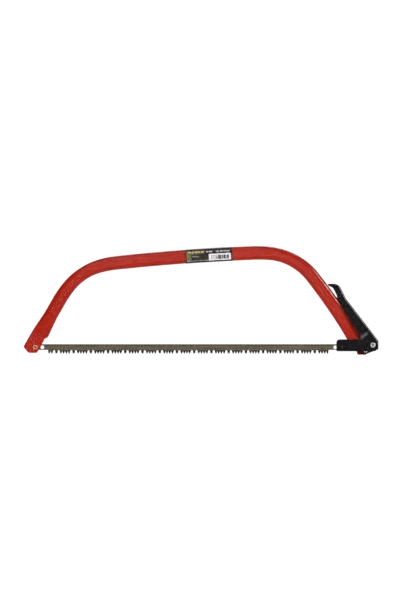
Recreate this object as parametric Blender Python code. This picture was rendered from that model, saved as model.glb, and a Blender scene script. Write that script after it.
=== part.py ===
"""Bow saw for green wood: a bent flat-oval steel tube, a raker-tooth blade and a toggle tension lever.

The drawing plane is XZ, with X along the blade and Z up; Y is the thickness. The design is drawn from the
front blade pin, and at the end the whole saw is stood on the world origin by its lowest point.
"""

import math

import bmesh
import bpy
from mathutils import Vector

MM = 0.001

# ---------------------------------------------------------------- driving dimensions

GAP = 0.3 * MM                      # clearance between pieces that touch
SHEET = 1.5 * MM                    # steel sheet of the lever and the link

# Pivots, as (x, z) from the front blade pin
FRONT_PIN = (0.0, 0.0)
REAR_PIN = (609.6 * MM, 0.0)        # 24 in blade, pin to pin
LEVER_PIVOT = (655.2 * MM, -6.6 * MM)
LINK_PIVOT = (669.7 * MM, 4.3 * MM)

# Frame tube: a centre line of straight and curved runs, as (length, turn to the right in degrees)
TUBE_WALL = 1.2 * MM
BOW_START = (-15.65 * MM, -19.3 * MM)
BOW_HEADING = 60.35
FRONT_LEG = (126.2 * MM, 0.0)
FRONT_BEND = ((34.7 * MM, 8.68), (76.1 * MM, 35.75), (34.8 * MM, 9.82))
CROWN = (270.3 * MM, 3.92)
REAR_BEND = ((32.4 * MM, 7.24), (100.0 * MM, 46.79))
REAR_LEG = (190.0 * MM, 9.2)
BOW_RUNS = (FRONT_LEG,) + FRONT_BEND + (CROWN,) + REAR_BEND + (REAR_LEG,)

# Tube section along the centre line, as (distance, width in the plane, thickness)
TUBE_SECTIONS = (
    (0.0, 33.0 * MM, 4.9 * MM),         # pressed flat for the blade
    (47.0 * MM, 33.0 * MM, 4.9 * MM),
    (100.0 * MM, 26.8 * MM, 16.6 * MM),
    (130.0 * MM, 26.6 * MM, 16.8 * MM),
    (200.0 * MM, 25.2 * MM, 17.6 * MM),  # the tube swells sideways in its bends
    (270.0 * MM, 27.0 * MM, 16.6 * MM),
    (300.0 * MM, 27.2 * MM, 16.4 * MM),
    (540.0 * MM, 27.2 * MM, 16.4 * MM),
    (600.0 * MM, 25.8 * MM, 17.4 * MM),
    (680.0 * MM, 27.1 * MM, 16.4 * MM),
    (780.0 * MM, 27.6 * MM, 15.6 * MM),
    (845.0 * MM, 30.0 * MM, 10.2 * MM),  # half flattened for the lever
    (870.0 * MM, 30.0 * MM, 10.2 * MM),
)
ROUND_SIDE_STEPS = 8                # facets of each round side of the tube
STATION_LENGTH = 34.0 * MM          # sections are drawn at most this far apart,
STATION_BEND = math.radians(4.0)    # with at most this bend between them
STATION_CHANGE = 2.0 * MM           # and at most this change of width or thickness

# What is sawn off the tube's two ends, as (x, z, corner radius); each region closes outside the tube
FRONT_TRIM = (
    (-60.0, 10.8, 0.0), (-18.7, 10.8, 0.0), (-22.9, 0.6, 4.0), (-12.8, -11.2, 4.5), (3.0, -11.2, 4.0),
    (10.0, -2.0, 2.0),
    (19.0, 16.5, 1.0), (32.0, 23.4, 0.0), (60.0, 23.4, 0.0), (60.0, -60.0, 0.0), (-60.0, -60.0, 0.0),
)
REAR_TRIM = (
    (600.0, 0.0, 0.0), (618.0, 0.0, 0.0), (633.0, 3.5, 1.0), (636.0, -5.0, 1.0), (639.6, -14.8, 2.0),
    (656.0, -14.8, 2.0), (670.0, 4.4, 0.0), (700.0, 4.4, 0.0), (700.0, -60.0, 0.0), (600.0, -60.0, 0.0),
)

# Blade
BLADE_THICKNESS = 0.8 * MM
BLADE_BACK = 6.0 * MM               # height of the back above the pins
BLADE_PLAIN_EDGE = -5.2 * MM        # lower edge of the plain ends
BLADE_OVERHANG = 8.8 * MM           # blade beyond each pin
BLADE_CORNER = 3.0 * MM
BLADE_CORNER_STEPS = 4
ROOT_LINE = -4.2 * MM
TIP_LINE = -13.5 * MM
RAKER_TIP_LINE = -13.2 * MM
RAKER_NOTCH_LINE = -11.2 * MM
TOOTH_BASE_LINE = -8.4 * MM
SHALLOW_GULLET_LINE = -7.9 * MM
DEEP_GULLET_LINE = -5.9 * MM
RAKER_COUNT = 16
FIRST_RAKER = 42.4 * MM
RAKER_PERIOD = 34.14 * MM
CUTTERS_PER_GROUP = 4
CUTTER_PITCH = 5.4 * MM
CUTTER_HALF_BASE = 2.3 * MM
CUTTER_SHOULDER = (1.5 * MM, -10.8 * MM, 0.45)   # half width, height, and share of the set there
RAKER_HALF_BASE = 2.5 * MM
RAKER_HALF_TIP = 1.6 * MM
FIRST_GROUP_CUTTERS = 2             # cutters ahead of the first raker
TOOTH_SET = 0.4 * MM
TOOTH_EDGE = 0.12 * MM              # thickness left at a filed tip
DEEP_GULLET_STEPS = 5
SHALLOW_GULLET_STEPS = 2
PIN_HOLE_RADIUS = 3.3 * MM
SPARE_HOLE_RADIUS = 3.65 * MM
SPARE_HOLE_INSET = 14.5 * MM        # second hole, inboard of each pin
SLOT_AHEAD = 6.3 * MM               # rear eye: travel of the pin towards the front
SLOT_BEHIND = 4.05 * MM
SLOT_HALF_HEIGHT = 3.7 * MM
SLOT_CORNER = 2.4 * MM

# Half widths of the stack across the thickness
REAR_TUBE_HALF = 5.1 * MM
WASHER_THICKNESS = 0.55 * MM
LEVER_HALF_TOP = 6.1 * MM           # outside of the lever's cheeks along the grip
LEVER_HALF_FOOT = 7.6 * MM          # outside of the cheeks at the pivots
PIVOT_HEAD_HALF = 8.8 * MM
LINK_HALF_BLADE = 3.5 * MM          # outside of the link's cheeks at the blade
LINK_HALF_TUBE = 10.6 * MM          # outside of the link's cheeks beside the tube
LINK_HALF_END = 9.4 * MM            # outside of the link's cheeks at the link pivot
LINK_HEAD_HALF = 11.2 * MM

# Lever side view, as (x, z, corner radius), from the hook's tip round the outer edge
LEVER_OUTER = (
    (581.8, 121.7, 0.4), (578.8, 125.5, 1.4), (601.6, 126.4, 17.0), (616.7, 95.8, 32.0), (680.6, 13.0, 6.0),
    (680.6, -3.9, 1.8), (650.9, -15.8, 1.8), (649.9, -12.0, 1.5), (645.0, 24.0, 4.0),
)
LEVER_HOOK_INNER = (
    (598.6, 101.5, 9.0), (590.8, 117.6, 11.0), (585.0, 120.5, 3.0),
)
LEVER_LAP = 1.2 * MM                # how far the cheeks reach over the tube's outer edge
LEVER_LAP_FROM = 738.0 * MM         # stretch of the centre line that the cheeks follow
LEVER_LAP_TO = 818.0 * MM
LEVER_LAP_STEPS = 5
LEVER_STEP_AXIS = (math.cos(math.radians(-55.0)), math.sin(math.radians(-55.0)))
LEVER_STEP_FROM = (643.3 * MM, 27.6 * MM)
LEVER_STEP_LENGTH = 5.5 * MM
LEVER_BEND_RADIUS = 3.6 * MM
LEVER_BEND_FADE = 10.0 * MM
LEVER_WEB_END = -2.0 * MM           # the web stops here, so that it swings clear of the tube
LEVER_HOLLOW_START = (583.5 * MM, 123.9 * MM)   # the hook is solid ahead of this
LEVER_OPEN_SIDE = (                 # everything on the tube's side of the web
    (700.0 * MM, LEVER_WEB_END), (700.0 * MM, -60.0 * MM), (560.0 * MM, -60.0 * MM),
    (560.0 * MM, 90.0 * MM), (583.5 * MM, 112.0 * MM),
)

# Link side view
LINK_LEFT = REAR_PIN[0] - 12.3 * MM
LINK_RIGHT = LINK_PIVOT[0] + 9.3 * MM
LINK_TOP = 15.6 * MM
LINK_BOTTOM = -8.0 * MM
LINK_CORNERS = (6.0 * MM, 2.5 * MM, 8.0 * MM, 8.0 * MM)
LINK_RAMP_FROM = REAR_PIN[0] + 3.5 * MM
LINK_RAMP_TO = REAR_PIN[0] + 13.0 * MM
LINK_STEP_FROM = LINK_PIVOT[0] - 7.6 * MM
LINK_STEP_TO = LINK_PIVOT[0] - 5.8 * MM
LINK_WEB_END = REAR_PIN[0] + 15.0 * MM
LINK_BEND_RADIUS = 1.4 * MM
BEND_SEGMENTS = 3

# Pins and rivets
SHANK_RADIUS = 2.9 * MM
REAR_PIN_RADIUS = 2.4 * MM
PIVOT_HEAD_RADIUS = 3.9 * MM
LINK_HEAD_RADIUS = 5.2 * MM
FRONT_HEAD_RADIUS = 4.8 * MM
FRONT_HEAD_HALF = 4.3 * MM
EYELET_RADIUS = 1.5 * MM
EYELET_DEPTH = 2.2 * MM
SLEEVE_RADIUS = 4.2 * MM
SPACER_RADIUS = 4.8 * MM
WASHER_RADIUS = 5.2 * MM
TURNED_STEPS = 24

# Label, as distances along the centre line
LABEL_FROM = 407.6 * MM
LABEL_TO = 501.2 * MM
LABEL_GAP = 0.2 * MM
LABEL_THICKNESS = 0.2 * MM
LABEL_SPANS = 5
LABEL_FAR_SHARE = 0.46              # share of the far flat that each end of the band covers

CUTTER_HALF = 20.0 * MM             # half length of a cutter that goes right through
ARC_STEP = 12.0                     # degrees of outline arc for each segment
SHARP_ANGLE = math.radians(32.0)


# ---------------------------------------------------------------- scene helpers

def clear_scene():
    for item in list(bpy.data.objects):
        bpy.data.objects.remove(item, do_unlink=True)


def make_material(name, colour, roughness, metallic):
    material = bpy.data.materials.new(name)
    material.use_nodes = True
    shader = material.node_tree.nodes["Principled BSDF"]
    shader.inputs["Base Color"].default_value = (*colour, 1.0)
    shader.inputs["Roughness"].default_value = roughness
    shader.inputs["Metallic"].default_value = metallic
    return material


def make_empty(name, parent, place):
    empty = bpy.data.objects.new(name, None)
    bpy.context.scene.collection.objects.link(empty)
    empty.parent = parent
    empty.location = place
    return empty


def make_object(name, bm, pivot):
    """Link bm as an object under its pivot; bm is drawn in the design's own coordinates."""
    bmesh.ops.translate(bm, verts=bm.verts, vec=(-pivot.location.x, 0.0, -pivot.location.z))
    bmesh.ops.recalc_face_normals(bm, faces=bm.faces)
    mesh = bpy.data.meshes.new(name)
    bm.to_mesh(mesh)
    bm.free()
    mesh.shade_smooth()
    mesh.set_sharp_from_angle(angle=SHARP_ANGLE)
    item = bpy.data.objects.new(name, mesh)
    bpy.context.scene.collection.objects.link(item)
    item.parent = pivot
    return item


def cut(target, name, bm):
    """Cut the solid bm out of target with a Boolean whose cutter stays in the scene as a wire."""
    cutter = make_object(name, bm, target.parent)
    cutter.hide_render = True
    cutter.display_type = "WIRE"
    modifier = target.modifiers.new(name, "BOOLEAN")
    modifier.operation = "DIFFERENCE"
    modifier.solver = "EXACT"
    modifier.object = cutter


# ---------------------------------------------------------------- drawing helpers

def in_metres(corners):
    return [(x * MM, z * MM, radius * MM) for x, z, radius in corners]


def rounded_outline(corners):
    """Closed outline through corners (x, z, radius), each rounded by an arc of its radius."""
    outline = []
    for index, (x, z, radius) in enumerate(corners):
        here = Vector((x, z))
        before = Vector(corners[index - 1][:2]) - here
        after = Vector(corners[(index + 1) % len(corners)][:2]) - here
        before.normalize()
        after.normalize()
        opening = before.angle(after)
        turn = math.pi - opening
        if radius <= 0.0 or turn < math.radians(1.0):
            outline.append(here)
            continue
        centre = here + (before + after).normalized() * (radius / math.sin(opening / 2.0))
        reach = radius / math.tan(opening / 2.0)
        first = here + before * reach - centre
        last = here + after * reach - centre
        steps = max(2, round(math.degrees(turn) / ARC_STEP))
        for step in range(steps + 1):
            share = step / steps
            weight_first = math.sin((1.0 - share) * turn) / math.sin(turn)
            weight_last = math.sin(share * turn) / math.sin(turn)
            outline.append(centre + first * weight_first + last * weight_last)
    return outline


def bend_rings(outline, bend):
    """Rings of (point, depth below the cheek) that turn from a cheek into the wall."""
    if bend is None:
        return [[(point, 0.0) for point in outline]]
    corners = list(zip(outline[-1:] + outline[:-1], outline, outline[1:] + outline[:1]))
    turn = math.copysign(1.0, sum(before.cross(point) for before, point, _ in corners))
    rings = []
    for step in range(BEND_SEGMENTS + 1):
        angle = math.radians(90.0) * (1.0 - step / BEND_SEGMENTS)
        ring = []
        for before, point, after in corners:
            along = (after - before).normalized()
            out = Vector((along.y, -along.x)) * turn
            radius = bend(point, out)
            ring.append((point - out * radius * (1.0 - math.cos(angle)), radius * (1.0 - math.sin(angle))))
        rings.append(ring)
    return rings


def prism(outline, breaks, axis=(1.0, 0.0), bend=None):
    """Solid of the XZ outline whose half width follows breaks, as (distance along axis, half width).

    bend gives the radius of the turn from cheek to wall at a point of the outline and its outward normal.
    """
    bm = bmesh.new()
    rings = bend_rings(outline, bend)
    rows = []
    for side, run in ((-1.0, rings), (1.0, rings[::-1])):
        for ring in run:
            rows.append([bm.verts.new((point.x, side * (1.0 - depth), point.y)) for point, depth in ring])
    count = len(outline)
    bm.faces.new(rows[0])
    bm.faces.new(reversed(rows[-1]))
    for row, following in zip(rows, rows[1:]):
        for i in range(count):
            j = (i + 1) % count
            bm.faces.new((row[i], following[i], following[j], row[j]))
    bmesh.ops.remove_doubles(bm, verts=bm.verts, dist=1e-6)
    normal = Vector((axis[0], 0.0, axis[1])).normalized()
    for distance, _ in breaks:
        geometry = bm.verts[:] + bm.edges[:] + bm.faces[:]
        bmesh.ops.bisect_plane(bm, geom=geometry, dist=1e-7, plane_co=normal * distance, plane_no=normal)
    for vert in bm.verts:
        depth = 1.0 - abs(vert.co.y)
        vert.co.y = math.copysign(half_width(breaks, vert.co.dot(normal)) - depth, vert.co.y)
    bmesh.ops.recalc_face_normals(bm, faces=bm.faces)
    return bm


def half_width(breaks, distance):
    if distance <= breaks[0][0]:
        return breaks[0][1]
    for (low, wide), (high, next_wide) in zip(breaks, breaks[1:]):
        if distance <= high:
            return wide + (next_wide - wide) * (distance - low) / (high - low)
    return breaks[-1][1]


def turned(profile, centre, steps=TURNED_STEPS, closed=False):
    """Solid turned about the Y axis through centre from a profile of (radius, y)."""
    bm = bmesh.new()
    rings = []
    for radius, y in profile:
        if radius == 0.0:
            rings.append([bm.verts.new((centre[0], y, centre[1]))])
            continue
        ring = []
        for step in range(steps):
            angle = 2.0 * math.pi * step / steps
            x = centre[0] + radius * math.cos(angle)
            z = centre[1] + radius * math.sin(angle)
            ring.append(bm.verts.new((x, y, z)))
        rings.append(ring)
    pairs = list(zip(rings, rings[1:]))
    if closed:
        pairs.append((rings[-1], rings[0]))
    for ring, following in pairs:
        for i in range(steps):
            j = (i + 1) % steps
            corners = [ring[i % len(ring)], ring[j % len(ring)]]
            corners += [following[j % len(following)], following[i % len(following)]]
            bm.faces.new(list(dict.fromkeys(corners)))
    bmesh.ops.recalc_face_normals(bm, faces=bm.faces)
    return bm


def ring_solid(inner, outer, y_from, y_to, centre):
    ease = min(0.12 * (y_to - y_from), 0.3 * (outer - inner))
    profile = [(inner, y_from), (outer - ease, y_from), (outer, y_from + ease), (outer, y_to - ease)]
    profile += [(outer - ease, y_to), (inner, y_to)]
    return turned(profile, centre, closed=True)


def plug(radius, centre):
    """Cutter for a round hole through the whole thickness."""
    profile = [(0.0, -CUTTER_HALF), (radius, -CUTTER_HALF), (radius, CUTTER_HALF), (0.0, CUTTER_HALF)]
    return turned(profile, centre)


# ---------------------------------------------------------------- the bow's centre line

def bow_point(distance):
    """Point and heading of the centre line at a distance from its start."""
    x, z = BOW_START
    heading = math.radians(BOW_HEADING)
    for index, (length, turn) in enumerate(BOW_RUNS):
        last = index == len(BOW_RUNS) - 1
        run = distance if last else min(distance, length)
        bend = math.radians(turn) * run / length
        chord = run if bend == 0.0 else run * math.sin(bend / 2.0) / (bend / 2.0)
        x += chord * math.cos(heading - bend / 2.0)
        z += chord * math.sin(heading - bend / 2.0)
        heading -= bend
        distance -= run
        if distance <= 0.0:
            break
    return x, z, heading


def tube_size(distance):
    """Width and thickness of the tube at a distance along the centre line."""
    for (low, wide, thick), (high, next_wide, next_thick) in zip(TUBE_SECTIONS, TUBE_SECTIONS[1:]):
        if distance <= high:
            share = max(0.0, (distance - low) / (high - low))
            share = share * share * (3.0 - 2.0 * share)
            return wide + (next_wide - wide) * share, thick + (next_thick - thick) * share
    return TUBE_SECTIONS[-1][1:]


def tube_ring(distance, inset):
    """Points of the flat-oval section, inset from the tube's outer surface."""
    x, z, heading = bow_point(distance)
    width, thickness = tube_size(distance)
    radius = thickness / 2.0 - inset
    reach = (width - thickness) / 2.0
    points = []
    for side in (1.0, -1.0):
        for step in range(ROUND_SIDE_STEPS + 1):
            angle = math.pi * step / ROUND_SIDE_STEPS
            out = side * (reach + radius * math.sin(angle))
            y = -side * radius * math.cos(angle)
            points.append(Vector((x - math.sin(heading) * out, y, z + math.cos(heading) * out)))
    return points


def tube_stations():
    """Distances at which the tube's section is drawn, closer together where it bends or is pressed."""
    run_ends = [sum(length for length, _ in BOW_RUNS[:count]) for count in range(len(BOW_RUNS) + 1)]
    pressed = [distance for distance, _, _ in TUBE_SECTIONS if distance < run_ends[-1]]
    marks = sorted(set(run_ends + pressed))
    stations = [0.0]
    for low, high in zip(marks, marks[1:]):
        bend = bow_point(low)[2] - bow_point(high)[2]
        change = max(abs(here - there) for here, there in zip(tube_size(low), tube_size(high)))
        needs = ((high - low) / STATION_LENGTH, bend / STATION_BEND, change / STATION_CHANGE)
        count = max(1, math.ceil(max(needs)))
        stations += [low + (high - low) * i / count for i in range(1, count + 1)]
    return stations


def outer_edge(distance, inside):
    """Point on the bow's outer edge in side view, moved inside the tube by a given amount."""
    x, z, heading = bow_point(distance)
    out = tube_size(distance)[0] / 2.0 - inside
    return x - math.sin(heading) * out, z + math.cos(heading) * out


# ---------------------------------------------------------------- frame

def frame_tube(pivot):
    bm = bmesh.new()
    stations = tube_stations()
    skins = []
    for inset in (0.0, TUBE_WALL):
        rings = [[bm.verts.new(point) for point in tube_ring(s, inset)] for s in stations]
        skins.append(rings)
        for ring, following in zip(rings, rings[1:]):
            join_rings(bm, ring, following)
    for end in (0, -1):
        join_rings(bm, skins[0][end], skins[1][end])
    tube = make_object("frame_tube", bm, pivot)
    for name, trim in (("front_trim", FRONT_TRIM), ("rear_trim", REAR_TRIM)):
        outline = rounded_outline(in_metres(trim))
        cut(tube, name, prism(outline, [(0.0, CUTTER_HALF)]))
    cut(tube, "front_pin_hole", plug(SHANK_RADIUS + GAP, FRONT_PIN))
    cut(tube, "lever_pivot_hole", plug(SHANK_RADIUS + GAP, LEVER_PIVOT))
    return tube


def join_rings(bm, ring, following):
    for i in range(len(ring)):
        j = (i + 1) % len(ring)
        bm.faces.new((ring[i], ring[j], following[j], following[i]))


def frame_label(pivot):
    """Printed band round the tube, its seam on the far side."""
    bm = bmesh.new()
    stations = [LABEL_FROM + (LABEL_TO - LABEL_FROM) * i / LABEL_SPANS for i in range(LABEL_SPANS + 1)]
    layers = []
    for lift in (LABEL_GAP, LABEL_GAP + LABEL_THICKNESS):
        strips = []
        for s in stations:
            ring = tube_ring(s, -lift)
            outer_side, inner_side = ring[:ROUND_SIDE_STEPS + 1], ring[ROUND_SIDE_STEPS + 1:]
            overlap = (outer_side[-1] - inner_side[0]) * LABEL_FAR_SHARE
            around = [inner_side[0] + overlap] + inner_side + outer_side + [outer_side[-1] - overlap]
            strips.append([bm.verts.new(point) for point in around])
        layers.append(strips)
    inner, outer = layers
    last = len(inner[0]) - 1
    for k in range(LABEL_SPANS):
        for i in range(last):
            for strips in layers:
                bm.faces.new((strips[k][i], strips[k][i + 1], strips[k + 1][i + 1], strips[k + 1][i]))
        for i in (0, last):
            bm.faces.new((inner[k][i], outer[k][i], outer[k + 1][i], inner[k + 1][i]))
    for k in (0, LABEL_SPANS):
        for i in range(last):
            bm.faces.new((inner[k][i], inner[k][i + 1], outer[k][i + 1], outer[k][i]))
    return make_object("frame_label", bm, pivot)


# ---------------------------------------------------------------- blade

def gullet(x_from, x_to, rim, floor, steps):
    """Points of a round gullet between two tooth bases, ends included."""
    middle = (x_from + x_to) / 2.0
    half = (x_to - x_from) / 2.0
    points = []
    for step in range(steps + 1):
        angle = math.pi * step / steps
        points.append((middle - half * math.cos(angle), rim + (floor - rim) * math.sin(angle)))
    return points


def tooth_places():
    """Teeth from front to rear, as (x, side): side 0 is a raker, and cutters lean to -1 or 1 in turn."""
    half_group = (CUTTERS_PER_GROUP - 1) / 2.0
    teeth = []
    for raker in range(-1, RAKER_COUNT):
        raker_x = FIRST_RAKER + raker * RAKER_PERIOD
        if raker >= 0:
            teeth.append((raker_x, 0))
        for cutter in range(CUTTERS_PER_GROUP):
            if raker < 0 and cutter < CUTTERS_PER_GROUP - FIRST_GROUP_CUTTERS:
                continue
            offset = RAKER_PERIOD / 2.0 + (cutter - half_group) * CUTTER_PITCH
            teeth.append((raker_x + offset, 1 if cutter % 2 else -1))
    return teeth


def tooth_sections():
    """Vertical sections of the toothed stretch, as (x, back or None, root, edge, signed share of the set)."""
    sections = []

    def add(x, edge, lean=0.0, back=None):
        sections.append((x, back, ROOT_LINE, edge, lean))

    teeth = tooth_places()
    for index, (x, side) in enumerate(teeth):
        half = CUTTER_HALF_BASE if side else RAKER_HALF_BASE
        if index == 0:
            add(x - half, BLADE_PLAIN_EDGE, back=BLADE_BACK)
        else:
            before_x, before_side = teeth[index - 1]
            before_half = CUTTER_HALF_BASE if before_side else RAKER_HALF_BASE
            deep = side == 0 or before_side == 0
            floor = DEEP_GULLET_LINE if deep else SHALLOW_GULLET_LINE
            steps = DEEP_GULLET_STEPS if deep else SHALLOW_GULLET_STEPS
            for gullet_x, z in gullet(before_x + before_half, x - half, TOOTH_BASE_LINE, floor, steps):
                add(gullet_x, z)
        if side:
            half_shoulder, shoulder, lean = CUTTER_SHOULDER
            add(x - half_shoulder, shoulder, side * lean)
            add(x, TIP_LINE, side)
            add(x + half_shoulder, shoulder, side * lean)
        else:
            add(x - RAKER_HALF_TIP, RAKER_TIP_LINE)
            add(x, RAKER_NOTCH_LINE, back=BLADE_BACK)
            add(x + RAKER_HALF_TIP, RAKER_TIP_LINE)
        if index == len(teeth) - 1:
            add(x + half, BLADE_PLAIN_EDGE, back=BLADE_BACK)
    return sections


def blade_end_sections(end, inboard):
    """Vertical sections of a rounded blade end at x = end, listed from the end inboard."""
    sections = []
    for step in range(BLADE_CORNER_STEPS + 1):
        angle = math.pi / 2.0 * (1.0 - step / BLADE_CORNER_STEPS)
        inward = BLADE_CORNER * (1.0 - math.sin(angle))
        drop = BLADE_CORNER * (1.0 - math.cos(angle))
        edge = BLADE_PLAIN_EDGE + drop
        root = max(ROOT_LINE, edge + 0.5 * MM)
        sections.append((end + inboard * inward, BLADE_BACK - drop, root, edge, 0.0))
    return sections


def blade_rows(bm, sections, side):
    """Back, root and edge vertices of one face of the blade; a filed tip is pulled to its cutter's side."""
    rows = []
    for x, back, root, edge, lean in sections:
        y = side * BLADE_THICKNESS / 2.0
        y_edge = y
        if lean:
            y_edge = BLADE_THICKNESS / 2.0 + abs(lean) * TOOTH_SET
            if side * lean < 0.0:
                y_edge -= BLADE_THICKNESS + (TOOTH_EDGE - BLADE_THICKNESS) * abs(lean)
            y_edge = math.copysign(1.0, lean) * y_edge
        top = bm.verts.new((x, y, back)) if back is not None else None
        rows.append((top, bm.verts.new((x, y, root)), bm.verts.new((x, y_edge, edge))))
    return rows


def saw_blade(pivot):
    bm = bmesh.new()
    sections = blade_end_sections(-BLADE_OVERHANG, 1.0) + tooth_sections()
    sections += reversed(blade_end_sections(REAR_PIN[0] + BLADE_OVERHANG, -1.0))
    near = blade_rows(bm, sections, -1.0)
    far = blade_rows(bm, sections, 1.0)
    posts = [k for k, section in enumerate(sections) if section[1] is not None]
    for i, j in zip(posts, posts[1:]):
        for rows in (near, far):
            bm.faces.new([rows[i][0], rows[j][0]] + [rows[k][1] for k in range(j, i - 1, -1)])
        bm.faces.new((near[i][0], near[j][0], far[j][0], far[i][0]))
    for k in range(len(sections) - 1):
        for rows in (near, far):
            bm.faces.new((rows[k][1], rows[k + 1][1], rows[k + 1][2], rows[k][2]))
        bm.faces.new((near[k][2], near[k + 1][2], far[k + 1][2], far[k][2]))
    for k in (0, len(sections) - 1):
        for row in (0, 1):
            bm.faces.new((near[k][row], near[k][row + 1], far[k][row + 1], far[k][row]))
    blade = make_object("saw_blade", bm, pivot)
    holes = [("front_eye", PIN_HOLE_RADIUS, 0.0), ("front_spare_hole", SPARE_HOLE_RADIUS, SPARE_HOLE_INSET)]
    holes.append(("rear_spare_hole", SPARE_HOLE_RADIUS, REAR_PIN[0] - SPARE_HOLE_INSET))
    for name, radius, x in holes:
        cut(blade, name, plug(radius, (x, 0.0)))
    left = REAR_PIN[0] - SLOT_AHEAD - REAR_PIN_RADIUS
    right = REAR_PIN[0] + SLOT_BEHIND + REAR_PIN_RADIUS
    corners = [(left, -1), (right, -1), (right, 1), (left, 1)]
    slot = rounded_outline([(x, side * SLOT_HALF_HEIGHT, SLOT_CORNER) for x, side in corners])
    cut(blade, "rear_eye", prism(slot, [(0.0, CUTTER_HALF)]))
    return blade


# ---------------------------------------------------------------- tension lever

def lever_outline():
    lap = []
    for step in range(LEVER_LAP_STEPS + 1):
        s = LEVER_LAP_TO + (LEVER_LAP_FROM - LEVER_LAP_TO) * step / LEVER_LAP_STEPS
        x, z = outer_edge(s, LEVER_LAP)
        lap.append((x, z, 0.0))
    return rounded_outline(in_metres(LEVER_OUTER) + lap + in_metres(LEVER_HOOK_INNER))


def lever_hollow():
    """Side view of the channel's inside: the outer edge moved in by one sheet, open towards the tube."""
    run_in, run_out = [(*corner[:2], 0.0) for corner in (LEVER_OUTER[1], LEVER_OUTER[5])]
    outer = rounded_outline(in_metres((run_in,) + LEVER_OUTER[2:5] + (run_out,)))
    web = []
    for index, point in enumerate(outer[1:-1], start=1):
        along = (outer[index + 1] - outer[index - 1]).normalized()
        web.append(point + Vector((along.y, -along.x)) * SHEET)
    foot = Vector((outer[-1].x - SHEET, LEVER_WEB_END))
    return [Vector(LEVER_HOLLOW_START)] + web + [foot] + [Vector(corner) for corner in LEVER_OPEN_SIDE]


def lever_breaks(inset):
    axis = Vector(LEVER_STEP_AXIS)
    start = axis.dot(Vector(LEVER_STEP_FROM))
    return [(start, LEVER_HALF_TOP - inset), (start + LEVER_STEP_LENGTH, LEVER_HALF_FOOT - inset)]


def lever_bend(radius):
    """Radius of the bend beside the web, which fades out towards the hook's tip and the web's end."""
    tip = Vector(LEVER_OUTER[1][:2]) * MM

    def at(point, out):
        if out.x + out.y < 0.3:
            return 0.0
        room = min((point - tip).length, max(0.0, point.y - LEVER_WEB_END))
        return radius * min(1.0, room / LEVER_BEND_FADE)

    return at


def tension_lever(pivot):
    bm = prism(lever_outline(), lever_breaks(0.0), LEVER_STEP_AXIS, lever_bend(LEVER_BEND_RADIUS))
    lever = make_object("tension_lever", bm, pivot)
    bend_inside = lever_bend(LEVER_BEND_RADIUS - SHEET)
    hollow = prism(lever_hollow(), lever_breaks(SHEET), LEVER_STEP_AXIS, bend_inside)
    cut(lever, "lever_hollow", hollow)
    cut(lever, "lever_foot_hole", plug(SHANK_RADIUS + GAP, LEVER_PIVOT))
    cut(lever, "lever_link_hole", plug(SHANK_RADIUS + GAP, LINK_PIVOT))
    return lever


# ---------------------------------------------------------------- blade link

def link_outline():
    top_left, bottom_left, bottom_right, top_right = LINK_CORNERS
    corners = [(LINK_LEFT, LINK_TOP, top_left), (LINK_LEFT, LINK_BOTTOM, bottom_left)]
    corners += [(x, LINK_BOTTOM, 0.0) for x in (LINK_WEB_END - LINK_BEND_RADIUS, LINK_WEB_END)]
    corners += [(LINK_RIGHT, LINK_BOTTOM, bottom_right), (LINK_RIGHT, LINK_TOP, top_right)]
    return rounded_outline(corners)


def link_bend(point, out):
    """Radius of the bend along the link's floor, up to where the floor ends."""
    return LINK_BEND_RADIUS if out.y < -0.5 and point.x < LINK_WEB_END - LINK_BEND_RADIUS / 2.0 else 0.0


def link_breaks(inset):
    breaks = [(LINK_RAMP_FROM, LINK_HALF_BLADE - inset), (LINK_RAMP_TO, LINK_HALF_TUBE - inset)]
    breaks += [(LINK_WEB_END, LINK_HALF_TUBE - inset), (LINK_STEP_FROM, LINK_HALF_TUBE - inset)]
    breaks += [(LINK_STEP_TO, LINK_HALF_END - inset)]
    return breaks


def link_hollow():
    """Side view of the link's inside: a floor under the blade, and open everywhere else."""
    far = 60.0 * MM
    floor = LINK_BOTTOM + SHEET
    left, right = LINK_LEFT - far, LINK_RIGHT + far
    corners = [(left, floor), (LINK_WEB_END, floor), (LINK_WEB_END, floor - far), (right, floor - far)]
    corners += [(right, LINK_TOP + far), (left, LINK_TOP + far)]
    return [Vector(corner) for corner in corners]


def blade_link(pivot):
    bm = prism(link_outline(), link_breaks(0.0), bend=link_bend)
    link = make_object("blade_link", bm, pivot)
    cut(link, "link_hollow", prism(link_hollow(), link_breaks(SHEET)))
    cut(link, "link_pivot_hole", plug(SHANK_RADIUS + GAP, LINK_PIVOT))
    cut(link, "link_pin_hole", plug(REAR_PIN_RADIUS + GAP, REAR_PIN))
    return link


# ---------------------------------------------------------------- pins, rivets, washers

def rivet(name, pivot, centre, head, head_from, head_to):
    """Semi-tubular rivet: a rolled, hollow head on the near side and a domed head on the far side."""
    rise = head_to - head_from
    profile = [(0.0, -head_to + EYELET_DEPTH), (EYELET_RADIUS, -head_to + EYELET_DEPTH)]
    profile += [(EYELET_RADIUS, -head_to + 0.25 * rise), (EYELET_RADIUS + 0.2 * rise, -head_to)]
    profile += [(head - 0.7 * rise, -head_to), (head - 0.2 * rise, -head_to + 0.3 * rise)]
    profile += [(head, -head_from - 0.2 * rise), (head, -head_from), (SHANK_RADIUS, -head_from)]
    profile += [(SHANK_RADIUS, head_from), (head, head_from), (head, head_from + 0.2 * rise)]
    profile += [(head - 0.3 * rise, head_from + 0.6 * rise), (0.6 * head, head_from + 0.9 * rise)]
    profile += [(0.0, head_to)]
    return make_object(name, turned(profile, centre), pivot)


def front_blade_pin(pivot):
    head_from = TUBE_SECTIONS[0][2] / 2.0 + GAP / 2.0
    return rivet("front_blade_pin", pivot, FRONT_PIN, FRONT_HEAD_RADIUS, head_from, FRONT_HEAD_HALF)


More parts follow.
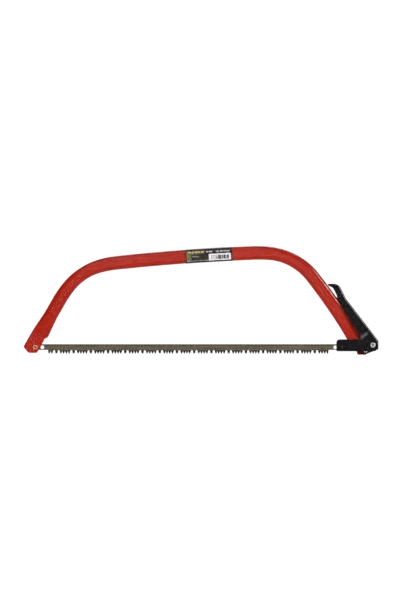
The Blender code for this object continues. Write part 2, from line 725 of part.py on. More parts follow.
def lever_pivot_rivet(pivot):
    head_from = LEVER_HALF_FOOT + GAP / 2.0
    return rivet("lever_pivot_rivet", pivot, LEVER_PIVOT, PIVOT_HEAD_RADIUS, head_from, PIVOT_HEAD_HALF)


def link_rivet(pivot):
    head_from = LINK_HALF_END + GAP / 2.0
    return rivet("link_rivet", pivot, LINK_PIVOT, LINK_HEAD_RADIUS, head_from, LINK_HEAD_HALF)


def rear_blade_pin(pivot):
    half = LINK_HALF_BLADE
    ease = 0.3 * MM
    radius = REAR_PIN_RADIUS
    profile = [(0.0, -half), (radius - ease, -half), (radius, -half + ease), (radius, half - ease)]
    profile += [(radius - ease, half), (0.0, half)]
    return make_object("rear_blade_pin", turned(profile, REAR_PIN), pivot)


def mirrored_rings(names, pivot, centre, radii, y_from, y_to):
    near = make_object(names[0], ring_solid(radii[0], radii[1], -y_to, -y_from, centre), pivot)
    far = make_object(names[1], ring_solid(radii[0], radii[1], y_from, y_to, centre), pivot)
    return [near, far]


def rear_spacers(pivot):
    inner = REAR_PIN_RADIUS + GAP
    y_from = BLADE_THICKNESS / 2.0 + GAP
    y_to = LINK_HALF_BLADE - SHEET - GAP
    names = ("rear_spacer_near", "rear_spacer_far")
    return mirrored_rings(names, pivot, REAR_PIN, (inner, SPACER_RADIUS), y_from, y_to)


def lever_washers(pivot):
    y_from = REAR_TUBE_HALF + GAP / 2.0
    names = ("lever_washer_near", "lever_washer_far")
    radii = (SHANK_RADIUS + GAP, WASHER_RADIUS)
    return mirrored_rings(names, pivot, LEVER_PIVOT, radii, y_from, y_from + WASHER_THICKNESS)


def lever_pivot_sleeve(pivot):
    half = REAR_TUBE_HALF - TUBE_WALL - 2.0 * GAP
    solid = ring_solid(SHANK_RADIUS + GAP, SLEEVE_RADIUS, -half, half, LEVER_PIVOT)
    return make_object("lever_pivot_sleeve", solid, pivot)


def link_rivet_sleeve(pivot):
    half = LEVER_HALF_FOOT - SHEET - GAP
    solid = ring_solid(SHANK_RADIUS + GAP, SLEEVE_RADIUS, -half, half, LINK_PIVOT)
    return make_object("link_rivet_sleeve", solid, pivot)


# ---------------------------------------------------------------- assembly

def stand_on_origin(root, pieces):
    """Move the saw so that the world origin is the middle of its base."""
    bpy.context.view_layer.update()
    depsgraph = bpy.context.evaluated_depsgraph_get()
    corners = []
    for piece in pieces:
        evaluated = piece.evaluated_get(depsgraph)
        corners += [evaluated.matrix_world @ vert.co for vert in evaluated.data.vertices]
    lows = [min(corner[axis] for corner in corners) for axis in range(3)]
    highs = [max(corner[axis] for corner in corners) for axis in range(3)]
    root.location = (-(lows[0] + highs[0]) / 2.0, -(lows[1] + highs[1]) / 2.0, -lows[2])


def main():
    clear_scene()
    red_paint = make_material("red_paint", (0.52, 0.045, 0.018), 0.35, 0.0)
    black_paint = make_material("black_paint", (0.012, 0.013, 0.015), 0.42, 0.0)
    blade_steel = make_material("blade_steel", (0.21, 0.18, 0.13), 0.45, 0.9)
    bright_steel = make_material("bright_steel", (0.62, 0.62, 0.62), 0.3, 1.0)
    copper = make_material("copper_plate", (0.72, 0.42, 0.33), 0.35, 1.0)
    print_film = make_material("print_film", (0.03, 0.03, 0.03), 0.3, 0.0)

    root = make_empty("saw", None, (0.0, 0.0, 0.0))
    frame = make_empty("frame_axis", root, (FRONT_PIN[0], 0.0, FRONT_PIN[1]))
    blade_axis = make_empty("blade_axis", root, (FRONT_PIN[0], 0.0, FRONT_PIN[1]))
    lever_axis = make_empty("lever_axis", root, (LEVER_PIVOT[0], 0.0, LEVER_PIVOT[1]))
    link_axis = make_empty("link_axis", root, (LINK_PIVOT[0], 0.0, LINK_PIVOT[1]))

    painted = {
        frame_tube(frame): red_paint,
        frame_label(frame): print_film,
        front_blade_pin(frame): copper,
        lever_pivot_rivet(frame): bright_steel,
        lever_pivot_sleeve(frame): bright_steel,
        saw_blade(blade_axis): blade_steel,
        tension_lever(lever_axis): black_paint,
        link_rivet(lever_axis): bright_steel,
        link_rivet_sleeve(lever_axis): bright_steel,
        blade_link(link_axis): black_paint,
        rear_blade_pin(link_axis): black_paint,
    }
    for washer in lever_washers(frame):
        painted[washer] = bright_steel
    for spacer in rear_spacers(link_axis):
        painted[spacer] = bright_steel
    for piece, material in painted.items():
        piece.data.materials.append(material)
    stand_on_origin(root, list(painted))


main()
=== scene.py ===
"""Looks of the bow saw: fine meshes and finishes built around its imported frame, with a plain studio."""

import math

import bmesh
import bpy
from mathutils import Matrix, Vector


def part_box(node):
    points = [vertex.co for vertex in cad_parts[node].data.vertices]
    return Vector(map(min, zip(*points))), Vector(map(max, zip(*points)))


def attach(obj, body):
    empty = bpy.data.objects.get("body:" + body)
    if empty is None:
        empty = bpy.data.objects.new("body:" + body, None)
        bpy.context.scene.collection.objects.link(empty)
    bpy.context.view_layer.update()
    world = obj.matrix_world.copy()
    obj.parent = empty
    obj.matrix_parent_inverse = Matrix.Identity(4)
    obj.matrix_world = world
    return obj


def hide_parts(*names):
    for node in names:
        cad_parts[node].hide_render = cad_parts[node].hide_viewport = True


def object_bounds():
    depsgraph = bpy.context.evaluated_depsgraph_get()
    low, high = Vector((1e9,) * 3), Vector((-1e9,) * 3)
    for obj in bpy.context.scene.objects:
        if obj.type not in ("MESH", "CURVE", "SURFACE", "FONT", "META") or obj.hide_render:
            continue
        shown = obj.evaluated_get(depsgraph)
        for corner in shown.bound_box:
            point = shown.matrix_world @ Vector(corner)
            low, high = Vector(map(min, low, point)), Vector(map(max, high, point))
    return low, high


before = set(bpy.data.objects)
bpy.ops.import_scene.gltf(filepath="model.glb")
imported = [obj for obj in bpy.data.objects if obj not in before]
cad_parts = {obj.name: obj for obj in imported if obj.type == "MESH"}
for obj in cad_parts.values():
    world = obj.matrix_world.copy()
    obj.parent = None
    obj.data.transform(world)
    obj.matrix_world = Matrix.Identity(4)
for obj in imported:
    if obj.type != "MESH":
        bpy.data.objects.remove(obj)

CAD_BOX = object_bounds()

MM = 0.001

# ---------------------------------------------------------------- sizes of the fine meshes

GAP = 0.3 * MM                      # clearance between pieces that touch
SHEET = 1.5 * MM                    # steel sheet of the lever and the link
PAINTED_EDGE = 0.3 * MM             # radius left on a painted, sheared edge

# Pivots, as (x, z) from the front blade pin
FRONT_PIN = (0.0, 0.0)
REAR_PIN = (609.6 * MM, 0.0)
LEVER_PIVOT = (655.2 * MM, -6.6 * MM)
LINK_PIVOT = (669.7 * MM, 4.3 * MM)

# Frame tube: straight and curved runs, as (length, turn to the right in degrees)
TUBE_WALL = 1.2 * MM
BOW_START = (-15.65 * MM, -19.3 * MM)
BOW_HEADING = 60.35
BOW_RUNS = (
    (126.2 * MM, 0.0), (34.7 * MM, 8.68), (76.1 * MM, 35.75), (34.8 * MM, 9.82), (270.3 * MM, 3.92),
    (32.4 * MM, 7.24), (100.0 * MM, 46.79), (190.0 * MM, 9.2),
)
TUBE_SECTIONS = (                   # (distance, width in the plane, thickness)
    (0.0, 33.0 * MM, 4.9 * MM),
    (47.0 * MM, 33.0 * MM, 4.9 * MM),
    (100.0 * MM, 26.8 * MM, 16.6 * MM),
    (130.0 * MM, 26.6 * MM, 16.8 * MM),
    (200.0 * MM, 25.2 * MM, 17.6 * MM),
    (270.0 * MM, 27.0 * MM, 16.6 * MM),
    (300.0 * MM, 27.2 * MM, 16.4 * MM),
    (540.0 * MM, 27.2 * MM, 16.4 * MM),
    (600.0 * MM, 25.8 * MM, 17.4 * MM),
    (680.0 * MM, 27.1 * MM, 16.4 * MM),
    (780.0 * MM, 27.6 * MM, 15.6 * MM),
    (845.0 * MM, 30.0 * MM, 10.2 * MM),
    (870.0 * MM, 30.0 * MM, 10.2 * MM),
)
TUBE_STEP = 5.0 * MM                # spacing of the tube's rings
ROUND_SIDE_STEPS = 16
FRONT_TRIM = (                      # (x, z, corner radius) in mm; each region closes outside the tube
    (-60.0, 10.8, 0.0), (-18.7, 10.8, 0.0), (-22.9, 0.6, 4.0), (-12.8, -11.2, 4.5), (3.0, -11.2, 4.0),
    (10.0, -2.0, 2.0), (19.0, 16.5, 1.0), (32.0, 23.4, 0.0), (60.0, 23.4, 0.0), (60.0, -60.0, 0.0),
    (-60.0, -60.0, 0.0),
)
REAR_TRIM = (
    (600.0, 0.0, 0.0), (618.0, 0.0, 0.0), (633.0, 3.5, 1.0), (636.0, -5.0, 1.0), (639.6, -14.8, 2.0),
    (656.0, -14.8, 2.0), (670.0, 4.4, 0.0), (700.0, 4.4, 0.0), (700.0, -60.0, 0.0), (600.0, -60.0, 0.0),
)

# Blade
BLADE_THICKNESS = 0.8 * MM
BLADE_BACK = 6.0 * MM
BLADE_PLAIN_EDGE = -5.2 * MM
BLADE_OVERHANG = 8.8 * MM
BLADE_CORNER = 3.0 * MM
BLADE_CORNER_STEPS = 8
ROOT_LINE = -4.2 * MM
TIP_LINE = -13.5 * MM
RAKER_TIP_LINE = -13.2 * MM
RAKER_NOTCH_LINE = -11.2 * MM
TOOTH_BASE_LINE = -8.4 * MM
SHALLOW_GULLET_LINE = -7.9 * MM
DEEP_GULLET_LINE = -5.9 * MM
RAKER_COUNT = 16
FIRST_RAKER = 42.4 * MM
RAKER_PERIOD = 34.14 * MM
CUTTERS_PER_GROUP = 4
CUTTER_PITCH = 5.4 * MM
CUTTER_HALF_BASE = 2.3 * MM
CUTTER_SHOULDER = (1.5 * MM, -10.8 * MM, 0.45)   # half width, height, and share of the set there
RAKER_HALF_BASE = 2.5 * MM
RAKER_HALF_TIP = 1.6 * MM
FIRST_GROUP_CUTTERS = 2
TOOTH_SET = 0.4 * MM
TOOTH_EDGE = 0.12 * MM
GULLET_STEPS = 8
PIN_HOLE_RADIUS = 3.3 * MM
SPARE_HOLE_RADIUS = 3.65 * MM
SPARE_HOLE_INSET = 14.5 * MM
SLOT_AHEAD = 6.3 * MM
SLOT_BEHIND = 4.05 * MM
SLOT_HALF_HEIGHT = 3.7 * MM
SLOT_CORNER = 2.4 * MM

# Half widths of the stack across the thickness
LEVER_HALF_TOP = 6.1 * MM
LEVER_HALF_FOOT = 7.6 * MM
PIVOT_HEAD_HALF = 8.8 * MM
LINK_HALF_BLADE = 3.5 * MM
LINK_HALF_TUBE = 10.6 * MM
LINK_HALF_END = 9.4 * MM
LINK_HEAD_HALF = 11.2 * MM

# Lever side view, as (x, z, corner radius) in mm
LEVER_OUTER = (
    (581.8, 121.7, 0.4), (578.8, 125.5, 1.4), (601.6, 126.4, 17.0), (616.7, 95.8, 32.0), (680.6, 13.0, 6.0),
    (680.6, -3.9, 1.8), (650.9, -15.8, 1.8), (649.9, -12.0, 1.5), (645.0, 24.0, 4.0),
)
LEVER_HOOK_INNER = (
    (598.6, 101.5, 9.0), (590.8, 117.6, 11.0), (585.0, 120.5, 3.0),
)
LEVER_LAP = 1.2 * MM
LEVER_LAP_FROM = 738.0 * MM
LEVER_LAP_TO = 818.0 * MM
LEVER_LAP_STEPS = 10
LEVER_STEP_AXIS = (math.cos(math.radians(-55.0)), math.sin(math.radians(-55.0)))
LEVER_STEP_FROM = (643.3 * MM, 27.6 * MM)
LEVER_STEP_LENGTH = 5.5 * MM
LEVER_STEP_HIGHLIGHT = ((642.5 * MM, 16.5 * MM), (658.0 * MM, 27.5 * MM))   # band across the cheek at the step that gets a painted highlight
LEVER_BEND_RADIUS = 3.6 * MM        # outside radius of the bend between web and cheeks
LEVER_BEND_FADE = 10.0 * MM         # stretch over which the bend fades out towards its ends
LEVER_WEB_END = -2.0 * MM
LEVER_HOLLOW_START = (583.5 * MM, 123.9 * MM)
LEVER_OPEN_SIDE = (
    (700.0 * MM, LEVER_WEB_END), (700.0 * MM, -60.0 * MM), (560.0 * MM, -60.0 * MM),
    (560.0 * MM, 90.0 * MM), (583.5 * MM, 112.0 * MM),
)

# Link side view
LINK_LEFT = REAR_PIN[0] - 12.3 * MM
LINK_RIGHT = LINK_PIVOT[0] + 9.3 * MM
LINK_TOP = 15.6 * MM
LINK_BOTTOM = -8.0 * MM
LINK_CORNERS = (6.0 * MM, 2.5 * MM, 8.0 * MM, 8.0 * MM)
LINK_RAMP_FROM = REAR_PIN[0] + 3.5 * MM
LINK_RAMP_TO = REAR_PIN[0] + 13.0 * MM
LINK_STEP_FROM = LINK_PIVOT[0] - 7.6 * MM
LINK_STEP_TO = LINK_PIVOT[0] - 5.8 * MM
LINK_WEB_END = REAR_PIN[0] + 15.0 * MM
LINK_BEND_RADIUS = 1.4 * MM

# Pins and rivets
SHANK_RADIUS = 2.9 * MM
REAR_PIN_RADIUS = 2.4 * MM
PIVOT_HEAD_RADIUS = 3.9 * MM
LINK_HEAD_RADIUS = 5.2 * MM
FRONT_HEAD_RADIUS = 4.8 * MM
FRONT_HEAD_HALF = 4.3 * MM
EYELET_RADIUS = 1.5 * MM
EYELET_DEPTH = 2.2 * MM
TURNED_STEPS = 64
HEAD_STEPS = 10

# Label, as distances along the centre line
LABEL_FROM = 407.6 * MM
LABEL_TO = 501.2 * MM
LABEL_GAP = 0.2 * MM
LABEL_THICKNESS = 0.2 * MM
LABEL_SPANS = 24
LABEL_FAR_SHARE = 0.46

# Studio floor
FLOOR_HALF_SIZE = 25.0
FLOOR_DROP = 40.0 * MM              # below the saw, which reaches down this far when the lever is open
FLOOR_FADE = (0.5, 1.1)             # distances over which the floor fades into the white around it

# World strength as a source of light, and as seen by the camera
WORLD_LIGHT = 0.05
WORLD_SEEN = 1.05

# Softboxes that light the surfaces: (name, place, size, power)
FILLS = (
    ("front_fill", (0.0, -3.0, 0.35), (0.8, 0.8), 56.0),
    ("back_fill", (0.4, 3.0, 0.8), (0.8, 0.8), 66.0),
    ("top_fill", (0.0, 0.1, 2.6), (1.0, 1.0), 24.0),
    ("left_fill", (-3.0, 0.0, 0.5), (0.8, 0.8), 18.0),
    ("right_fill", (3.0, 0.0, 0.5), (0.8, 0.8), 18.0),
)
# Softboxes that only show as glare: (name, place, target or None for the saw's middle, size, power)
STRIPS = (
    ("top_front_strip", (-0.35, -1.3, 1.9), None, (1.8, 0.5), 14.0),
    ("step_strip", (-0.4, -2.06, 1.05), (0.3, 0.0, 0.05), (0.6, 0.6), 5.0),
    ("top_back_strip", (0.35, 1.5, 1.9), None, (1.8, 0.5), 24.0),
    ("right_strip", (1.9, -0.9, 0.9), None, (0.5, 1.0), 80.0),
)

# Camera
VIEW_MARGIN = 1.1308                # width of the view over the width of the saw
VIEW_SHIFT = -1.2 * MM
VIEW_DISTANCE = 2.5
IMAGE_SIZE = (401.0, 601.0)

CUTTER_HALF = 20.0 * MM
ARC_STEP = 5.0
BEND_SEGMENTS = 6


def design_origin():
    """Where the front blade pin's centre lies in the frame's coordinates."""
    low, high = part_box("front_blade_pin")
    return (low + high) / 2.0


ORIGIN = design_origin()


# ---------------------------------------------------------------- mesh helpers

def make_piece(name, bm, body, stands_for, look):
    """Place bm, drawn in the design's coordinates, as a finished piece on its body."""
    bmesh.ops.translate(bm, verts=bm.verts, vec=ORIGIN)
    bmesh.ops.recalc_face_normals(bm, faces=bm.faces)
    mesh = bpy.data.meshes.new(name)
    bm.to_mesh(mesh)
    bm.free()
    mesh.materials.append(look)
    item = bpy.data.objects.new(name, mesh)
    bpy.context.scene.collection.objects.link(item)
    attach(item, body)
    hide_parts(*stands_for)
    return item


def cut_away(item, cutters):
    """Cut each solid out of the piece with an exact Boolean, and apply it."""
    helpers = []
    for index, bm in enumerate(cutters):
        bmesh.ops.translate(bm, verts=bm.verts, vec=ORIGIN)
        bmesh.ops.recalc_face_normals(bm, faces=bm.faces)
        mesh = bpy.data.meshes.new(f"{item.name}_cutter_{index}")
        bm.to_mesh(mesh)
        bm.free()
        helper = bpy.data.objects.new(mesh.name, mesh)
        bpy.context.scene.collection.objects.link(helper)
        modifier = item.modifiers.new(mesh.name, "BOOLEAN")
        modifier.operation = "DIFFERENCE"
        modifier.solver = "EXACT"
        modifier.object = helper
        helpers.append(helper)
    bpy.context.view_layer.update()
    depsgraph = bpy.context.evaluated_depsgraph_get()
    mesh = bpy.data.meshes.new_from_object(item.evaluated_get(depsgraph))
    item.modifiers.clear()
    item.data = mesh
    for helper in helpers:
        bpy.data.objects.remove(helper, do_unlink=True)


def soften_edges(item, radius, angle=30.0, segments=2):
    """Round the piece's sharp edges, and mark the narrow faces this makes with the attribute edge_wear."""
    bm = bmesh.new()
    bm.from_mesh(item.data)
    bmesh.ops.remove_doubles(bm, verts=bm.verts, dist=0.02 * MM)
    bmesh.ops.dissolve_limit(bm, angle_limit=math.radians(0.3), verts=bm.verts, edges=bm.edges)
    layer = bm.faces.layers.float.new("edge_wear")
    sharp = [edge for edge in bm.edges if edge.is_manifold and edge.calc_face_angle() > math.radians(angle)]
    made = bmesh.ops.bevel(bm, geom=sharp, offset=radius, offset_type="OFFSET", segments=segments,
                           profile=0.5, affect="EDGES", clamp_overlap=False)
    for face in made["faces"]:
        face[layer] = 1.0
    bmesh.ops.recalc_face_normals(bm, faces=bm.faces)
    bm.to_mesh(item.data)
    bm.free()


def shade(item, angle=50.0):
    """Smooth shading that follows the large faces."""
    item.data.shade_smooth()
    item.data.set_sharp_from_angle(angle=math.radians(angle))
    modifier = item.modifiers.new("even_shading", "WEIGHTED_NORMAL")
    modifier.keep_sharp = True
    modifier.weight = 80


def in_metres(corners):
    return [(x * MM, z * MM, radius * MM) for x, z, radius in corners]


def rounded_outline(corners):
    """Closed outline through corners (x, z, radius), each rounded by an arc of its radius."""
    outline = []
    for index, (x, z, radius) in enumerate(corners):
        here = Vector((x, z))
        before = (Vector(corners[index - 1][:2]) - here).normalized()
        after = (Vector(corners[(index + 1) % len(corners)][:2]) - here).normalized()
        opening = before.angle(after)
        turn = math.pi - opening
        if radius <= 0.0 or turn < math.radians(1.0):
            outline.append(here)
            continue
        centre = here + (before + after).normalized() * (radius / math.sin(opening / 2.0))
        reach = radius / math.tan(opening / 2.0)
        first = here + before * reach - centre
        last = here + after * reach - centre
        steps = max(3, round(math.degrees(turn) / ARC_STEP))
        for step in range(steps + 1):
            share = step / steps
            weight_first = math.sin((1.0 - share) * turn) / math.sin(turn)
            weight_last = math.sin(share * turn) / math.sin(turn)
            outline.append(centre + first * weight_first + last * weight_last)
    return outline


def half_width(breaks, distance):
    """Half width at a distance, in straight runs from break to break."""
    if distance <= breaks[0][0]:
        return breaks[0][1]
    for (low, wide), (high, next_wide) in zip(breaks, breaks[1:]):
        if distance <= high:
            share = (distance - low) / (high - low)
            return wide + (next_wide - wide) * share
    return breaks[-1][1]


def bend_rings(outline, bend):
    """Rings of (point, depth below the cheek) that turn from a cheek into the wall."""
    if bend is None:
        return [[(point, 0.0) for point in outline]]
    corners = list(zip(outline[-1:] + outline[:-1], outline, outline[1:] + outline[:1]))
    turn = math.copysign(1.0, sum(before.cross(point) for before, point, _ in corners))
    rings = []
    for step in range(BEND_SEGMENTS + 1):
        angle = math.radians(90.0) * (1.0 - step / BEND_SEGMENTS)
        ring = []
        for before, point, after in corners:
            along = (after - before).normalized()
            out = Vector((along.y, -along.x)) * turn
            radius = bend(point, out)
            ring.append((point - out * radius * (1.0 - math.cos(angle)), radius * (1.0 - math.sin(angle))))
        rings.append(ring)
    return rings


def prism(outline, breaks, axis=(1.0, 0.0), bend=None):
    """Solid of the XZ outline whose half width follows breaks, as (distance along axis, half width).

    bend gives the radius of the turn from cheek to wall at a point of the outline and its outward normal.
    """
    bm = bmesh.new()
    rings = bend_rings(outline, bend)
    rows = []
    for side, run in ((-1.0, rings), (1.0, rings[::-1])):
        for ring in run:
            rows.append([bm.verts.new((point.x, side * (1.0 - depth), point.y)) for point, depth in ring])
    count = len(outline)
    bm.faces.new(rows[0])
    bm.faces.new(reversed(rows[-1]))
    for row, following in zip(rows, rows[1:]):
        for i in range(count):
            j = (i + 1) % count
            bm.faces.new((row[i], following[i], following[j], row[j]))
    bmesh.ops.remove_doubles(bm, verts=bm.verts, dist=1e-6)
    normal = Vector((axis[0], 0.0, axis[1])).normalized()
    for distance, _ in breaks:
        geometry = bm.verts[:] + bm.edges[:] + bm.faces[:]
        bmesh.ops.bisect_plane(bm, geom=geometry, dist=1e-7, plane_co=normal * distance, plane_no=normal)
    for vert in bm.verts:
        depth = 1.0 - abs(vert.co.y)
        vert.co.y = math.copysign(half_width(breaks, vert.co.dot(normal)) - depth, vert.co.y)
    bmesh.ops.recalc_face_normals(bm, faces=bm.faces)
    return bm


def turned(profile, centre):
    """Solid turned about the Y axis through centre from a profile of (radius, y)."""
    bm = bmesh.new()
    rings = []
    for radius, y in profile:
        if radius == 0.0:
            rings.append([bm.verts.new((centre[0], y, centre[1]))])
            continue
        ring = []
        for step in range(TURNED_STEPS):
            angle = 2.0 * math.pi * step / TURNED_STEPS
            x = centre[0] + radius * math.cos(angle)
            z = centre[1] + radius * math.sin(angle)
            ring.append(bm.verts.new((x, y, z)))
        rings.append(ring)
    for ring, following in zip(rings, rings[1:]):
        for i in range(TURNED_STEPS):
            j = (i + 1) % TURNED_STEPS
            corners = [ring[i % len(ring)], ring[j % len(ring)]]
            corners += [following[j % len(following)], following[i % len(following)]]
            bm.faces.new(list(dict.fromkeys(corners)))
    return bm


def plug(radius, centre):
    """Cutter for a round hole through the whole thickness."""
    profile = [(0.0, -CUTTER_HALF), (radius, -CUTTER_HALF), (radius, CUTTER_HALF), (0.0, CUTTER_HALF)]
    return turned(profile, centre)


# ---------------------------------------------------------------- frame tube and label

def bow_point(distance):
    """Point and heading of the centre line at a distance from its start."""
    x, z = BOW_START
    heading = math.radians(BOW_HEADING)
    for index, (length, turn) in enumerate(BOW_RUNS):
        last = index == len(BOW_RUNS) - 1
        run = distance if last else min(distance, length)
        bend = math.radians(turn) * run / length
        chord = run if bend == 0.0 else run * math.sin(bend / 2.0) / (bend / 2.0)
        x += chord * math.cos(heading - bend / 2.0)
        z += chord * math.sin(heading - bend / 2.0)
        heading -= bend
        distance -= run
        if distance <= 0.0:
            break
    return x, z, heading


def tube_size(distance):
    """Width and thickness of the tube at a distance along the centre line."""
    for (low, wide, thick), (high, next_wide, next_thick) in zip(TUBE_SECTIONS, TUBE_SECTIONS[1:]):
        if distance <= high:
            share = max(0.0, (distance - low) / (high - low))
            share = share * share * (3.0 - 2.0 * share)
            return wide + (next_wide - wide) * share, thick + (next_thick - thick) * share
    return TUBE_SECTIONS[-1][1:]


def tube_ring(distance, inset):
    """Flat-oval section as (point, height above the centre line in the side view)."""
    x, z, heading = bow_point(distance)
    width, thickness = tube_size(distance)
    radius = thickness / 2.0 - inset
    reach = (width - thickness) / 2.0
    points = []
    for side in (1.0, -1.0):
        for step in range(ROUND_SIDE_STEPS + 1):
            angle = math.pi * step / ROUND_SIDE_STEPS
            out = side * (reach + radius * math.sin(angle))
            y = -side * radius * math.cos(angle)
            point = Vector((x - math.sin(heading) * out, y, z + math.cos(heading) * out))
            points.append((point, out))
    return points


def join_rings(bm, ring, following):
    for i in range(len(ring)):
        j = (i + 1) % len(ring)
        bm.faces.new((ring[i], ring[j], following[j], following[i]))


def outer_edge(distance, inside):
    """Point on the bow's outer edge in side view, moved inside the tube by a given amount."""
    x, z, heading = bow_point(distance)
    out = tube_size(distance)[0] / 2.0 - inside
    return x - math.sin(heading) * out, z + math.cos(heading) * out


def bow_tube(look):
    bm = bmesh.new()
    length = sum(run for run, _ in BOW_RUNS)
    count = math.ceil(length / TUBE_STEP)
    skins = []
    for inset in (0.0, TUBE_WALL):
        rings = []
        for k in range(count + 1):
            rings.append([bm.verts.new(point) for point, _ in tube_ring(length * k / count, inset)])
        for ring, following in zip(rings, rings[1:]):
            join_rings(bm, ring, following)
        skins.append(rings)
    for end in (0, -1):
        join_rings(bm, skins[0][end], skins[1][end])
    tube = make_piece("bow_tube", bm, "frame", ["frame_tube"], look)
    outlines = [rounded_outline(in_metres(trim)) for trim in (FRONT_TRIM, REAR_TRIM)]
    cutters = [prism(outline, [(0.0, CUTTER_HALF)]) for outline in outlines]
    cutters += [plug(SHANK_RADIUS + GAP, centre) for centre in (FRONT_PIN, LEVER_PIVOT)]
    cut_away(tube, cutters)
    soften_edges(tube, PAINTED_EDGE, angle=40.0)
    shade(tube)
    return tube


def label_film(look):
    """Printed band round the tube; its UV holds metres along the band and metres above its middle."""
    bm = bmesh.new()
    layer = bm.loops.layers.uv.new("print")
    drawn = {}
    layers = []
    for lift in (LABEL_GAP, LABEL_GAP + LABEL_THICKNESS):
        strips = []
        for k in range(LABEL_SPANS + 1):
            along = (LABEL_TO - LABEL_FROM) * k / LABEL_SPANS
            ring = tube_ring(LABEL_FROM + along, -lift)
            outer_side, inner_side = ring[:ROUND_SIDE_STEPS + 1], ring[ROUND_SIDE_STEPS + 1:]
            reach = (outer_side[-1][0] - inner_side[0][0]) * LABEL_FAR_SHARE
            rise = (outer_side[-1][1] - inner_side[0][1]) * LABEL_FAR_SHARE
            around = [(inner_side[0][0] + reach, inner_side[0][1] + rise)] + inner_side + outer_side
            around += [(outer_side[-1][0] - reach, outer_side[-1][1] - rise)]
            strip = []
            for point, out in around:
                vert = bm.verts.new(point)
                drawn[vert] = (along, out)
                strip.append(vert)
            strips.append(strip)
        layers.append(strips)
    inner, outer = layers
    last = len(inner[0]) - 1
    for k in range(LABEL_SPANS):
        for i in range(last):
            for strips in layers:
                bm.faces.new((strips[k][i], strips[k][i + 1], strips[k + 1][i + 1], strips[k + 1][i]))
        for i in (0, last):
            bm.faces.new((inner[k][i], outer[k][i], outer[k + 1][i], inner[k + 1][i]))
    for k in (0, LABEL_SPANS):
        for i in range(last):
            bm.faces.new((inner[k][i], inner[k][i + 1], outer[k][i + 1], outer[k][i]))
    for face in bm.faces:
        for loop in face.loops:
            loop[layer].uv = drawn[loop.vert]
    film = make_piece("label_band", bm, "frame", ["frame_label"], look)
    shade(film)
    return film


# ---------------------------------------------------------------- blade

def gullet(x_from, x_to, rim, floor):
    """Points of a round gullet between two tooth bases, ends included."""
    middle = (x_from + x_to) / 2.0
    half = (x_to - x_from) / 2.0
    points = []
    for step in range(GULLET_STEPS + 1):
        angle = math.pi * step / GULLET_STEPS
        points.append((middle - half * math.cos(angle), rim + (floor - rim) * math.sin(angle)))
    return points


def tooth_places():
    """Teeth from front to rear, as (x, side): side 0 is a raker, and cutters lean to -1 or 1 in turn."""
    half_group = (CUTTERS_PER_GROUP - 1) / 2.0
    teeth = []
    for raker in range(-1, RAKER_COUNT):
        raker_x = FIRST_RAKER + raker * RAKER_PERIOD
        if raker >= 0:
            teeth.append((raker_x, 0))
        for cutter in range(CUTTERS_PER_GROUP):
            if raker < 0 and cutter < CUTTERS_PER_GROUP - FIRST_GROUP_CUTTERS:
                continue
            offset = RAKER_PERIOD / 2.0 + (cutter - half_group) * CUTTER_PITCH
            teeth.append((raker_x + offset, 1 if cutter % 2 else -1))
    return teeth


def tooth_sections():
    """Vertical sections of the toothed stretch, as (x, back or None, root, edge, signed share of the set)."""
    sections = []

    def add(x, edge, lean=0.0, back=None):
        sections.append((x, back, ROOT_LINE, edge, lean))

    teeth = tooth_places()
    for index, (x, side) in enumerate(teeth):
        half = CUTTER_HALF_BASE if side else RAKER_HALF_BASE
        if index == 0:
            add(x - half, BLADE_PLAIN_EDGE, back=BLADE_BACK)
        else:
            before_x, before_side = teeth[index - 1]
            before_half = CUTTER_HALF_BASE if before_side else RAKER_HALF_BASE
            deep = side == 0 or before_side == 0
            floor = DEEP_GULLET_LINE if deep else SHALLOW_GULLET_LINE
            for gullet_x, z in gullet(before_x + before_half, x - half, TOOTH_BASE_LINE, floor):
                add(gullet_x, z)
        if side:
            half_shoulder, shoulder, lean = CUTTER_SHOULDER
            add(x - half_shoulder, shoulder, side * lean)
            add(x, TIP_LINE, side)
            add(x + half_shoulder, shoulder, side * lean)
        else:
            add(x - RAKER_HALF_TIP, RAKER_TIP_LINE)
            add(x, RAKER_NOTCH_LINE, back=BLADE_BACK)
            add(x + RAKER_HALF_TIP, RAKER_TIP_LINE)
        if index == len(teeth) - 1:
            add(x + half, BLADE_PLAIN_EDGE, back=BLADE_BACK)
    return sections


def blade_end_sections(end, inboard):
    """Vertical sections of a rounded blade end at x = end, listed from the end inboard."""
    sections = []
    for step in range(BLADE_CORNER_STEPS + 1):
        angle = math.pi / 2.0 * (1.0 - step / BLADE_CORNER_STEPS)
        inward = BLADE_CORNER * (1.0 - math.sin(angle))
        drop = BLADE_CORNER * (1.0 - math.cos(angle))
        edge = BLADE_PLAIN_EDGE + drop
        root = max(ROOT_LINE, edge + 0.5 * MM)
        sections.append((end + inboard * inward, BLADE_BACK - drop, root, edge, 0.0))
    return sections


def blade_rows(bm, sections, side):
    """Back, root and edge vertices of one face of the blade; a filed tip is pulled to its cutter's side."""
    rows = []
    for x, back, root, edge, lean in sections:
        y = side * BLADE_THICKNESS / 2.0
        y_edge = y
        if lean:
            y_edge = BLADE_THICKNESS / 2.0 + abs(lean) * TOOTH_SET
            if side * lean < 0.0:
                y_edge -= BLADE_THICKNESS + (TOOTH_EDGE - BLADE_THICKNESS) * abs(lean)
            y_edge = math.copysign(1.0, lean) * y_edge
        top = bm.verts.new((x, y, back)) if back is not None else None
        rows.append((top, bm.verts.new((x, y, root)), bm.verts.new((x, y_edge, edge))))
    return rows


